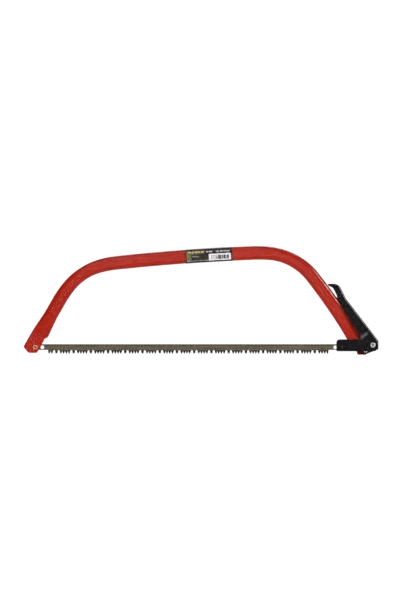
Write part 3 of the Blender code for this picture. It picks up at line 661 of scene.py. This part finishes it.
def toothed_blade(look):
    bm = bmesh.new()
    sections = blade_end_sections(-BLADE_OVERHANG, 1.0) + tooth_sections()
    sections += reversed(blade_end_sections(REAR_PIN[0] + BLADE_OVERHANG, -1.0))
    near = blade_rows(bm, sections, -1.0)
    far = blade_rows(bm, sections, 1.0)
    posts = [k for k, section in enumerate(sections) if section[1] is not None]
    for i, j in zip(posts, posts[1:]):
        for rows in (near, far):
            bm.faces.new([rows[i][0], rows[j][0]] + [rows[k][1] for k in range(j, i - 1, -1)])
        bm.faces.new((near[i][0], near[j][0], far[j][0], far[i][0]))
    for k in range(len(sections) - 1):
        for rows in (near, far):
            bm.faces.new((rows[k][1], rows[k + 1][1], rows[k + 1][2], rows[k][2]))
        bm.faces.new((near[k][2], near[k + 1][2], far[k + 1][2], far[k][2]))
    for k in (0, len(sections) - 1):
        for row in (0, 1):
            bm.faces.new((near[k][row], near[k][row + 1], far[k][row + 1], far[k][row]))
    blade = make_piece("toothed_blade", bm, "blade", ["saw_blade"], look)
    cutters = [plug(PIN_HOLE_RADIUS, FRONT_PIN)]
    for x in (SPARE_HOLE_INSET, REAR_PIN[0] - SPARE_HOLE_INSET):
        cutters.append(plug(SPARE_HOLE_RADIUS, (x, 0.0)))
    left = REAR_PIN[0] - SLOT_AHEAD - REAR_PIN_RADIUS
    right = REAR_PIN[0] + SLOT_BEHIND + REAR_PIN_RADIUS
    corners = [(left, -1), (right, -1), (right, 1), (left, 1)]
    slot = rounded_outline([(x, side * SLOT_HALF_HEIGHT, SLOT_CORNER) for x, side in corners])
    cutters.append(prism(slot, [(0.0, CUTTER_HALF)]))
    cut_away(blade, cutters)
    shade(blade, angle=20.0)
    return blade


# ---------------------------------------------------------------- lever and link

def lever_outline():
    lap = []
    for step in range(LEVER_LAP_STEPS + 1):
        s = LEVER_LAP_TO + (LEVER_LAP_FROM - LEVER_LAP_TO) * step / LEVER_LAP_STEPS
        x, z = outer_edge(s, LEVER_LAP)
        lap.append((x, z, 0.0))
    return rounded_outline(in_metres(LEVER_OUTER) + lap + in_metres(LEVER_HOOK_INNER))


def lever_hollow():
    """Side view of the channel's inside: the outer edge moved in by one sheet, open towards the tube."""
    run_in, run_out = [(*corner[:2], 0.0) for corner in (LEVER_OUTER[1], LEVER_OUTER[5])]
    outer = rounded_outline(in_metres((run_in,) + LEVER_OUTER[2:5] + (run_out,)))
    web = []
    for index, point in enumerate(outer[1:-1], start=1):
        along = (outer[index + 1] - outer[index - 1]).normalized()
        web.append(point + Vector((along.y, -along.x)) * SHEET)
    foot = Vector((outer[-1].x - SHEET, LEVER_WEB_END))
    return [Vector(LEVER_HOLLOW_START)] + web + [foot] + [Vector(corner) for corner in LEVER_OPEN_SIDE]


def lever_breaks(inset):
    axis = Vector(LEVER_STEP_AXIS)
    start = axis.dot(Vector(LEVER_STEP_FROM))
    return [(start, LEVER_HALF_TOP - inset), (start + LEVER_STEP_LENGTH, LEVER_HALF_FOOT - inset)]


def lever_bend(radius):
    """Radius of the bend beside the web, which fades out towards the hook's tip and the web's end."""
    tip = Vector(LEVER_OUTER[1][:2]) * MM

    def at(point, out):
        if out.x + out.y < 0.3:
            return 0.0
        room = min((point - tip).length, max(0.0, point.y - LEVER_WEB_END))
        return radius * min(1.0, room / LEVER_BEND_FADE)

    return at


def lever_channel(look):
    bm = prism(lever_outline(), lever_breaks(0.0), LEVER_STEP_AXIS, lever_bend(LEVER_BEND_RADIUS))
    lever = make_piece("lever_channel", bm, "lever", ["tension_lever"], look)
    bend_inside = lever_bend(LEVER_BEND_RADIUS - SHEET)
    hollow = prism(lever_hollow(), lever_breaks(SHEET), LEVER_STEP_AXIS, bend_inside)
    cutters = [hollow] + [plug(SHANK_RADIUS + GAP, centre) for centre in (LEVER_PIVOT, LINK_PIVOT)]
    cut_away(lever, cutters)
    soften_edges(lever, PAINTED_EDGE, angle=40.0)
    shade(lever)
    return lever


def link_outline():
    top_left, bottom_left, bottom_right, top_right = LINK_CORNERS
    corners = [(LINK_LEFT, LINK_TOP, top_left), (LINK_LEFT, LINK_BOTTOM, bottom_left)]
    corners += [(x, LINK_BOTTOM, 0.0) for x in (LINK_WEB_END - LINK_BEND_RADIUS, LINK_WEB_END)]
    corners += [(LINK_RIGHT, LINK_BOTTOM, bottom_right), (LINK_RIGHT, LINK_TOP, top_right)]
    return rounded_outline(corners)


def link_bend(point, out):
    """Radius of the bend along the link's floor, up to where the floor ends."""
    return LINK_BEND_RADIUS if out.y < -0.5 and point.x < LINK_WEB_END - LINK_BEND_RADIUS / 2.0 else 0.0


def link_breaks(inset):
    breaks = [(LINK_RAMP_FROM, LINK_HALF_BLADE - inset), (LINK_RAMP_TO, LINK_HALF_TUBE - inset)]
    breaks += [(LINK_WEB_END, LINK_HALF_TUBE - inset), (LINK_STEP_FROM, LINK_HALF_TUBE - inset)]
    breaks += [(LINK_STEP_TO, LINK_HALF_END - inset)]
    return breaks


def link_hollow():
    """Side view of the link's inside: a floor under the blade, and open everywhere else."""
    far = 60.0 * MM
    floor = LINK_BOTTOM + SHEET
    left, right = LINK_LEFT - far, LINK_RIGHT + far
    corners = [(left, floor), (LINK_WEB_END, floor), (LINK_WEB_END, floor - far), (right, floor - far)]
    corners += [(right, LINK_TOP + far), (left, LINK_TOP + far)]
    return [Vector(corner) for corner in corners]


def link_plate(look):
    bm = prism(link_outline(), link_breaks(0.0), bend=link_bend)
    link = make_piece("link_plate", bm, "link", ["blade_link"], look)
    cutters = [prism(link_hollow(), link_breaks(SHEET))]
    cutters += [plug(SHANK_RADIUS + GAP, LINK_PIVOT), plug(REAR_PIN_RADIUS + GAP, REAR_PIN)]
    cut_away(link, cutters)
    soften_edges(link, PAINTED_EDGE, angle=40.0)
    shade(link)
    return link


# ---------------------------------------------------------------- rivets and pins

def rivet(name, body, stands_for, look, centre, head, head_from, head_to):
    """Semi-tubular rivet: a rolled, hollow head on the near side and a domed head on the far side."""
    rise = head_to - head_from
    floor = -head_to + EYELET_DEPTH
    profile = [(0.0, floor), (0.6 * EYELET_RADIUS, floor), (0.93 * EYELET_RADIUS, floor - 0.1 * MM)]
    profile.append((EYELET_RADIUS, floor - 0.35 * MM))
    middle = (EYELET_RADIUS + head) / 2.0
    half = (head - EYELET_RADIUS) / 2.0
    for step in range(HEAD_STEPS + 1):
        angle = math.pi * (1.0 - step / HEAD_STEPS)
        flat = math.sin(angle) ** 0.6
        profile.append((middle + half * math.cos(angle), -head_from - rise * flat))
    profile += [(SHANK_RADIUS, -head_from), (SHANK_RADIUS, head_from)]
    for step in range(HEAD_STEPS + 1):
        angle = math.pi / 2.0 * step / HEAD_STEPS
        out = head * math.cos(angle) if step < HEAD_STEPS else 0.0
        profile.append((out, head_from + rise * math.sin(angle)))
    item = make_piece(name, turned(profile, centre), body, stands_for, look)
    shade(item)
    return item


def plain_pin(look):
    """Pin whose ends are spread out flush with the link, so that they fill its holes."""
    half = LINK_HALF_BLADE
    spread = REAR_PIN_RADIUS + 0.9 * GAP
    ease = 0.2 * MM
    rim = [(REAR_PIN_RADIUS, half - 0.8 * SHEET), (spread, half - 0.6 * SHEET)]
    for step in range(HEAD_STEPS + 1):
        angle = math.pi / 2.0 * step / HEAD_STEPS
        rim.append((spread - ease * (1.0 - math.cos(angle)), half - ease * (1.0 - math.sin(angle))))
    profile = [(0.0, -half)] + [(r, -y) for r, y in reversed(rim)] + rim + [(0.0, half)]
    item = make_piece("rear_pin", turned(profile, REAR_PIN), "link", ["rear_blade_pin"], look)
    shade(item)
    return item


# ---------------------------------------------------------------- finishes

class Finish:
    """A material's node tree, with short calls for the nodes that the finishes share."""

    def __init__(self, name):
        self.material = bpy.data.materials.new(name)
        self.material.use_nodes = True
        self.tree = self.material.node_tree
        self.shader = self.tree.nodes["Principled BSDF"]
        self.place = self.add("ShaderNodeTexCoord").outputs["Object"]

    def add(self, kind, inputs=(), **settings):
        node = self.tree.nodes.new(kind)
        for key, value in settings.items():
            setattr(node, key, value)
        for key, value in dict(inputs).items():
            self.feed(node.inputs[key], value)
        return node

    def feed(self, socket, value):
        if isinstance(value, bpy.types.NodeSocket):
            self.tree.links.new(value, socket)
        else:
            socket.default_value = value

    def set(self, **values):
        """Feed the shader's sockets; an underscore stands for a space."""
        for key, value in values.items():
            self.feed(self.shader.inputs[key.replace("_", " ")], value)

    def noise(self, scale, detail=3.0, roughness=0.55, vector=None):
        inputs = {"Vector": vector or self.place, "Scale": scale, "Detail": detail, "Roughness": roughness}
        return self.add("ShaderNodeTexNoise", inputs).outputs["Fac"]

    def stretched(self, scale):
        """Coordinates scaled by a different amount along each axis."""
        return self.add("ShaderNodeMapping", {"Vector": self.place, "Scale": scale}).outputs["Vector"]

    def math(self, operation, *values):
        node = self.add("ShaderNodeMath", operation=operation)
        for socket, value in zip(node.inputs, values):
            self.feed(socket, value)
        return node.outputs["Value"]

    def span(self, value, low, high, to_low=0.0, to_high=1.0):
        """Value carried from low..high to to_low..to_high, clamped, with soft ends."""
        inputs = {"Value": value, "From Min": low, "From Max": high, "To Min": to_low, "To Max": to_high}
        node = self.add("ShaderNodeMapRange", inputs, interpolation_type="SMOOTHSTEP")
        return node.outputs["Result"]

    def mix(self, share, first, second):
        node = self.add("ShaderNodeMix", data_type="RGBA")
        for name, value in (("Factor", share), ("A", first), ("B", second)):
            sockets = [socket for socket in node.inputs if socket.name == name and socket.enabled]
            self.feed(sockets[0], value)
        return [socket for socket in node.outputs if socket.enabled][0]

    def axis(self, name):
        return self.add("ShaderNodeSeparateXYZ", {"Vector": self.place}).outputs[name]

    def facing_side(self):
        """1 where the surface faces along the saw's thickness, 0 where it faces across it."""
        normal = self.add("ShaderNodeTexCoord").outputs["Normal"]
        return self.math("ABSOLUTE", self.add("ShaderNodeSeparateXYZ", {"Vector": normal}).outputs["Y"])

    def edges(self):
        """1 on the narrow rounded faces along sharp edges, 0 elsewhere."""
        return self.add("ShaderNodeAttribute", attribute_name="edge_wear").outputs["Fac"]

    def near(self, centre, inner, outer):
        """1 within inner metres of a place in the design's XZ plane, 0 beyond outer."""
        there = (centre[0] + ORIGIN.x, 0.0, centre[1] + ORIGIN.z)
        flat = self.add("ShaderNodeVectorMath", operation="MULTIPLY")
        self.feed(flat.inputs[0], self.place)
        self.feed(flat.inputs[1], (1.0, 0.0, 1.0))
        distance = self.add("ShaderNodeVectorMath", operation="DISTANCE")
        self.feed(distance.inputs[0], flat.outputs["Vector"])
        self.feed(distance.inputs[1], there)
        return self.span(distance.outputs["Value"], inner, outer, 1.0, 0.0)

    def beside(self, start, end, reach_start, reach_end):
        """1 on the line from start to end in the design's XZ plane, fading out on both sides of it.

        The fade's reach in metres grows along the line, and the line's ends are soft.
        """
        first = Vector((start[0] + ORIGIN.x, 0.0, start[1] + ORIGIN.z))
        along = Vector((end[0] - start[0], 0.0, end[1] - start[1]))
        length = along.length
        along.normalize()
        across = Vector((-along.z, 0.0, along.x))
        place = self.add("ShaderNodeVectorMath", operation="SUBTRACT")
        self.feed(place.inputs[0], self.place)
        self.feed(place.inputs[1], first)
        shares = []
        for direction in (along, across):
            dot = self.add("ShaderNodeVectorMath", operation="DOT_PRODUCT")
            self.feed(dot.inputs[0], place.outputs["Vector"])
            self.feed(dot.inputs[1], direction)
            shares.append(dot.outputs["Value"])
        reach = self.span(shares[0], 0.0, length, reach_start, reach_end)
        away = self.math("DIVIDE", self.math("ABSOLUTE", shares[1]), reach)
        begun = self.span(shares[0], 0.0, 0.2 * length)
        ended = self.span(shares[0], length, 1.1 * length, 1.0, 0.0)
        return self.math("MULTIPLY", self.span(away, 0.3, 1.0, 1.0, 0.0), self.math("MULTIPLY", begun, ended))

    def bump(self, height, distance, strength=1.0):
        node = self.add("ShaderNodeBump", {"Height": height, "Distance": distance, "Strength": strength})
        self.feed(self.shader.inputs["Normal"], node.outputs["Normal"])


def colour(red, green, blue):
    """Linear colour, with alpha, from sRGB values of 0 to 255."""
    linear = []
    for value in (red, green, blue):
        share = value / 255.0
        linear.append(share / 12.92 if share <= 0.04045 else ((share + 0.055) / 1.055) ** 2.4)
    return (*linear, 1.0)


def red_enamel():
    look = Finish("red_enamel")
    clouds = look.span(look.noise(14.0, 4.0), 0.35, 0.68)
    body = look.mix(clouds, colour(172, 29, 6), colour(177, 32, 9))
    dust = look.span(look.noise(1400.0, 5.0, 0.7), 0.52, 0.78, 0.0, 0.3)
    body = look.mix(dust, body, colour(146, 28, 12))
    # Painted shade: the red is darkened where the surface turns across the thickness, on the tube's rounded
    # rims and edges.
    painted_rim_shade = look.span(look.facing_side(), 0.3, 0.8, 0.5, 0.0)
    body = look.mix(painted_rim_shade, body, colour(84, 12, 5))
    # Painted shadow: the tube is painted dark along the lever's edge and round the lever pivot, where the
    # lever and link shade it; the same mask raises the roughness and lowers the specular there.
    painted_lever_shadow = look.beside(outer_edge(LEVER_LAP_FROM, 0.0), outer_edge(LEVER_LAP_TO + 25.0 * MM, 0.0),
                         7.0 * MM, 15.0 * MM)
    painted_lever_shadow = look.math("MAXIMUM", painted_lever_shadow, look.near(LEVER_PIVOT, 14.0 * MM, 30.0 * MM))
    painted_lever_shadow = look.math("MULTIPLY", painted_lever_shadow, look.span(look.noise(110.0, 4.0), 0.2, 0.6, 0.8, 1.0))
    body = look.mix(look.math("MULTIPLY", painted_lever_shadow, 0.9), body, colour(34, 8, 5))
    handled = look.near(FRONT_PIN, 6.0 * MM, 15.0 * MM)
    handled = look.math("MULTIPLY", handled, 0.55)
    handled = look.math("MAXIMUM", look.math("MULTIPLY", look.edges(), 1.2), handled)
    flakes = look.span(look.noise(900.0, 6.0, 0.65), 0.56, 0.64)
    chipped = look.math("MULTIPLY", handled, flakes)
    body = look.mix(chipped, body, colour(118, 108, 98))
    scuffs = look.span(look.noise(60.0, 8.0, 0.7, look.stretched((1.0, 1.0, 5.0))), 0.62, 0.74, 0.0, 1.0)
    smooth = look.span(look.noise(30.0), 0.3, 0.7, 0.2, 0.27)
    rough = look.math("ADD", look.math("MULTIPLY", scuffs, 0.12), smooth)
    rough = look.math("ADD", rough, look.math("MULTIPLY", painted_lever_shadow, 0.35))
    look.set(Base_Color=body, Roughness=look.math("ADD", rough, look.math("MULTIPLY", chipped, 0.2)))
    look.set(Metallic=look.math("MULTIPLY", chipped, 0.8))
    look.set(Specular_IOR_Level=look.math("SUBTRACT", 0.22, look.math("MULTIPLY", painted_lever_shadow, 0.2)))
    peel = look.math("ADD", look.noise(650.0, 2.0), look.math("MULTIPLY", chipped, -1.5))
    look.bump(peel, 0.00003)
    return look.material


def black_enamel():
    look = Finish("black_enamel")
    clouds = look.span(look.noise(90.0, 5.0), 0.35, 0.7)
    body = look.mix(clouds, colour(4, 5, 5), colour(9, 11, 10))
    speckle = look.span(look.noise(1100.0, 4.0, 0.7), 0.6, 0.72, 0.0, 0.3)
    body = look.mix(speckle, body, colour(34, 36, 33))
    # Painted highlight: a light grey band across the lever's cheek at its step, where the step catches light.
    painted_step_highlight = look.beside(*LEVER_STEP_HIGHLIGHT, 5.0 * MM, 4.0 * MM)
    painted_step_highlight = look.math("MULTIPLY", painted_step_highlight, look.span(look.noise(260.0, 4.0), 0.3, 0.6, 0.5, 0.85))
    body = look.mix(painted_step_highlight, body, colour(92, 93, 96))
    joint = look.near(LINK_PIVOT, 5.0 * MM, 9.0 * MM)
    joint = look.math("MULTIPLY", joint, 0.4)
    handled = look.math("MAXIMUM", look.math("MULTIPLY", look.edges(), 0.5), joint)
    flakes = look.span(look.noise(800.0, 6.0, 0.65), 0.6, 0.68)
    chipped = look.math("MULTIPLY", handled, flakes)
    body = look.mix(chipped, body, colour(126, 124, 118))
    rough = look.span(look.noise(120.0, 5.0), 0.3, 0.7, 0.24, 0.34)
    look.set(Base_Color=body, Roughness=rough, Metallic=look.math("MULTIPLY", chipped, 0.8))
    look.set(Specular_IOR_Level=0.28)
    peel = look.math("ADD", look.noise(520.0, 3.0), look.math("MULTIPLY", chipped, -1.0))
    look.bump(peel, 0.00009)
    return look.material


def oiled_steel():
    look = Finish("oiled_blade_steel")
    height = look.math("SUBTRACT", look.axis("Z"), ORIGIN.z)
    grain = look.noise(240.0, 6.0, 0.6, look.stretched((0.06, 1.0, 2.2)))
    body = look.mix(look.span(grain, 0.3, 0.72), colour(84, 76, 57), colour(116, 107, 86))
    band = look.span(height, 2.6 * MM, 4.0 * MM)
    body = look.mix(look.math("MULTIPLY", band, 0.75), body, colour(56, 49, 35))
    spots = look.span(look.noise(130.0, 7.0, 0.68), 0.55, 0.72, 0.0, 0.8)
    body = look.mix(spots, body, colour(88, 72, 48))
    hardened = look.span(look.math("MULTIPLY", height, -1.0), 5.4 * MM, 7.4 * MM)
    body = look.mix(hardened, body, colour(9, 8, 6))
    filed = look.span(look.math("MULTIPLY", height, -1.0), 12.6 * MM, 13.4 * MM, 0.0, 0.3)
    body = look.mix(filed, body, colour(120, 116, 106))
    rough = look.span(grain, 0.3, 0.7, 0.34, 0.5)
    rough = look.math("ADD", rough, look.math("MULTIPLY", spots, 0.15))
    look.set(Base_Color=body, Metallic=0.35, Roughness=rough)
    look.bump(look.math("ADD", grain, look.math("MULTIPLY", spots, -0.4)), 0.00004)
    return look.material


def plated_steel(name, bright, dull, centre=None):
    """Plated metal with fine grain and tarnish; the middle of a rivet's rolled head gets painted shade in its
    hollow.
    """
    look = Finish(name)
    grain = look.noise(1500.0, 4.0, 0.6)
    tarnish = look.span(look.noise(300.0, 5.0, 0.65), 0.4, 0.72)
    body = look.mix(look.math("MULTIPLY", tarnish, 0.7), bright, dull)
    if centre:
        # Painted shade: the rivet's hollow is painted dark, where shade falls in it.
        hollow = look.near(centre, EYELET_RADIUS * 0.9, EYELET_RADIUS * 1.25)
        body = look.mix(look.math("MULTIPLY", hollow, 0.75), body, colour(40, 36, 33))
    rough = look.span(grain, 0.3, 0.7, 0.24, 0.42)
    rough = look.math("ADD", rough, look.math("MULTIPLY", tarnish, 0.12))
    look.set(Base_Color=body, Metallic=0.4, Roughness=rough)
    look.bump(grain, 0.00003)
    return look.material


def printed_film():
    """Dark printed band with a picture panel, plain bars where words would be, and a pale code box."""
    look = Finish("printed_film")
    uv = look.add("ShaderNodeUVMap", uv_map="print").outputs["UV"]
    parts = look.add("ShaderNodeSeparateXYZ", {"Vector": uv})
    along, up = parts.outputs["X"], parts.outputs["Y"]
    front = look.math("LESS_THAN", look.axis("Y"), 0.0)

    def box(left, right, bottom, top):
        """1 inside a box given in millimetres along and above the middle of the band, on the near side."""
        across = look.math("ABSOLUTE", look.math("SUBTRACT", along, (left + right) / 2.0 * MM))
        over = look.math("ABSOLUTE", look.math("SUBTRACT", up, (bottom + top) / 2.0 * MM))
        inside = look.math("LESS_THAN", across, (right - left) / 2.0 * MM)
        inside = look.math("MULTIPLY", inside, look.math("LESS_THAN", over, (top - bottom) / 2.0 * MM))
        return look.math("MULTIPLY", inside, front)

    ink = look.mix(look.span(look.noise(500.0), 0.4, 0.7), colour(10, 8, 8), colour(24, 20, 20))
    body = ink
    blotches = look.span(look.noise(170.0, 5.0, 0.6), 0.42, 0.62)
    sky = look.mix(blotches, colour(124, 110, 64), colour(54, 46, 20))
    body = look.mix(box(2.6, 38.6, -10.6, 10.4), body, sky)
    meadow = look.mix(blotches, colour(12, 16, 12), colour(44, 50, 36))
    body = look.mix(box(12.0, 46.6, -8.8, 3.2), body, meadow)
    pale = look.mix(blotches, colour(168, 148, 142), colour(116, 96, 92))
    body = look.mix(box(2.6, 46.6, -10.8, -8.8), body, pale)
    wave = look.math("MULTIPLY", look.math("SINE", look.math("MULTIPLY", along, 95.0)), 3.0 * MM)
    above = look.math("ADD", look.math("SUBTRACT", up, wave), 4.2 * MM)
    ridge = look.math("LESS_THAN", look.math("ABSOLUTE", above), 0.8 * MM)
    body = look.mix(look.math("MULTIPLY", ridge, box(14.0, 27.0, -8.8, 2.0)), body, colour(140, 136, 116))
    body = look.mix(box(38.6, 91.8, 2.8, 13.0), body, ink)
    for left, right in ((6.0, 12.0), (13.5, 17.0), (19.0, 24.5), (26.0, 30.0), (31.5, 37.0)):
        body = look.mix(box(left, right, 5.6, 8.4), body, colour(206, 184, 112))
    for left, right in ((41.5, 46.0), (47.0, 54.0), (62.0, 67.5), (69.0, 75.0), (76.5, 88.0)):
        body = look.mix(box(left, right, 5.6, 8.0), body, colour(196, 190, 188))
    body = look.mix(box(46.6, 90.4, -10.8, 2.4), body, colour(238, 236, 238))
    stripes = look.add("ShaderNodeTexWhiteNoise", noise_dimensions="1D")
    look.feed(stripes.inputs["W"], look.math("FLOOR", look.math("MULTIPLY", along, 1.0 / (0.9 * MM))))
    bars = look.math("GREATER_THAN", stripes.outputs["Value"], 0.42)
    body = look.mix(look.math("MULTIPLY", bars, box(52.0, 86.4, -8.6, -0.4)), body, colour(74, 70, 78))
    scratches = look.span(look.noise(220.0, 8.0, 0.75, look.stretched((0.5, 1.0, 6.0))), 0.62, 0.7, 0.0, 0.35)
    body = look.mix(scratches, body, colour(150, 140, 134))
    look.set(Base_Color=body, Roughness=look.span(look.noise(90.0), 0.3, 0.7, 0.24, 0.36))
    look.bump(look.noise(160.0, 3.0), 0.00005)
    return look.material


def studio_floor_finish():
    """Pale floor that is seen to fade, away from the saw, into the white around it."""
    look = Finish("studio_floor")
    body = look.mix(look.noise(3.0, 3.0), colour(238, 238, 237), colour(245, 245, 244))
    away = look.add("ShaderNodeVectorMath", operation="LENGTH")
    look.feed(away.inputs[0], look.place)
    seen = look.add("ShaderNodeLightPath").outputs["Is Camera Ray"]
    faded = look.math("MULTIPLY", seen, look.span(away.outputs["Value"], *FLOOR_FADE))
    look.set(Base_Color=body, Roughness=0.8, Alpha=look.math("SUBTRACT", 1.0, faded))
    return look.material


# ---------------------------------------------------------------- studio

def studio_floor(height):
    bm = bmesh.new()
    bmesh.ops.create_grid(bm, x_segments=1, y_segments=1, size=FLOOR_HALF_SIZE)
    mesh = bpy.data.meshes.new("studio_floor")
    bm.to_mesh(mesh)
    bm.free()
    mesh.materials.append(studio_floor_finish())
    floor = bpy.data.objects.new("studio_floor", mesh)
    floor.location.z = height
    bpy.context.scene.collection.objects.link(floor)


def soft_light(name, place, target, size, power, glare):
    """Softbox aimed at target that either lights the surfaces evenly or only shows as glare on them."""
    light = bpy.data.lights.new(name, "AREA")
    light.shape = "RECTANGLE"
    light.size, light.size_y = size
    light.energy = power
    item = bpy.data.objects.new(name, light)
    item.location = place
    item.rotation_euler = (Vector(target) - Vector(place)).to_track_quat("-Z", "Y").to_euler()
    item.visible_glossy = glare
    item.visible_diffuse = not glare
    bpy.context.scene.collection.objects.link(item)


def surroundings():
    """White to look at, and a soft grey as a source of light."""
    world = bpy.data.worlds.new("studio")
    bpy.context.scene.world = world
    world.use_nodes = True
    tree = world.node_tree
    background = tree.nodes["Background"]
    background.inputs["Color"].default_value = (1.0, 1.0, 1.0, 1.0)
    seen = tree.nodes.new("ShaderNodeLightPath")
    strength = tree.nodes.new("ShaderNodeMapRange")
    strength.inputs["To Min"].default_value = WORLD_LIGHT
    strength.inputs["To Max"].default_value = WORLD_SEEN
    tree.links.new(seen.outputs["Is Camera Ray"], strength.inputs["Value"])
    tree.links.new(strength.outputs["Result"], background.inputs["Strength"])


def studio():
    low, high = CAD_BOX
    middle = (low + high) / 2.0
    studio_floor(low.z - FLOOR_DROP)
    surroundings()
    for name, place, size, power in FILLS:
        soft_light(name, place, middle, size, power, glare=False)
    for name, place, target, size, power in STRIPS:
        soft_light(name, place, target or middle, size, power, glare=True)


def camera():
    """Square-on view of the saw's near side, which fills the frame's width but for a narrow margin."""
    low, high = CAD_BOX
    middle = (low + high) / 2.0
    width, height = IMAGE_SIZE
    data = bpy.data.cameras.new("camera")
    data.type = "ORTHO"
    data.ortho_scale = (high.x - low.x) * VIEW_MARGIN * height / width
    item = bpy.data.objects.new("camera", data)
    item.location = (middle.x + VIEW_SHIFT, -VIEW_DISTANCE, middle.z)
    item.rotation_euler = (math.radians(90.0), 0.0, 0.0)
    bpy.context.scene.collection.objects.link(item)
    bpy.context.scene.camera = item


# ---------------------------------------------------------------- assembly

def dress(look, *nodes):
    """Give CAD nodes whose shape stays as it is a finished material."""
    for name in nodes:
        for material_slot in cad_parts[name].material_slots:
            material_slot.material = look


def build():
    bpy.context.scene.view_settings.view_transform = "Standard"
    camera()
    studio()
    red = red_enamel()
    black = black_enamel()
    bow_tube(red)
    label_film(printed_film())
    toothed_blade(oiled_steel())
    lever_channel(black)
    link_plate(black)
    plain_pin(plated_steel("oily_pin_steel", colour(46, 42, 28), colour(26, 24, 16)))
    copper = plated_steel("copper_plate_worn", colour(218, 148, 120), colour(164, 100, 78), FRONT_PIN)
    # Painted highlight: the lever rivet's zinc is painted lighter than the other zinc plating, as a lit copy
    # of it.
    zinc_lever_painted_highlight = plated_steel("zinc_plate_lever", colour(214, 214, 212), colour(150, 150, 148), LEVER_PIVOT)
    zinc_link = plated_steel("zinc_plate_link", colour(190, 190, 188), colour(134, 134, 132), LINK_PIVOT)
    zinc = plated_steel("zinc_plate", colour(196, 196, 194), colour(136, 136, 134))
    front_from = TUBE_SECTIONS[0][2] / 2.0 + GAP / 2.0
    rivet("front_rivet", "frame", ["front_blade_pin"], copper, FRONT_PIN, FRONT_HEAD_RADIUS,
          front_from, FRONT_HEAD_HALF)
    rivet("lever_rivet", "frame", ["lever_pivot_rivet"], zinc_lever_painted_highlight, LEVER_PIVOT,
          PIVOT_HEAD_RADIUS, LEVER_HALF_FOOT + GAP / 2.0, PIVOT_HEAD_HALF)
    rivet("toggle_rivet", "lever", ["link_rivet"], zinc_link, LINK_PIVOT, LINK_HEAD_RADIUS,
          LINK_HALF_END + GAP / 2.0, LINK_HEAD_HALF)
    dress(zinc, "lever_pivot_sleeve", "link_rivet_sleeve", "lever_washer_near", "lever_washer_far",
          "rear_spacer_near", "rear_spacer_far")


build()
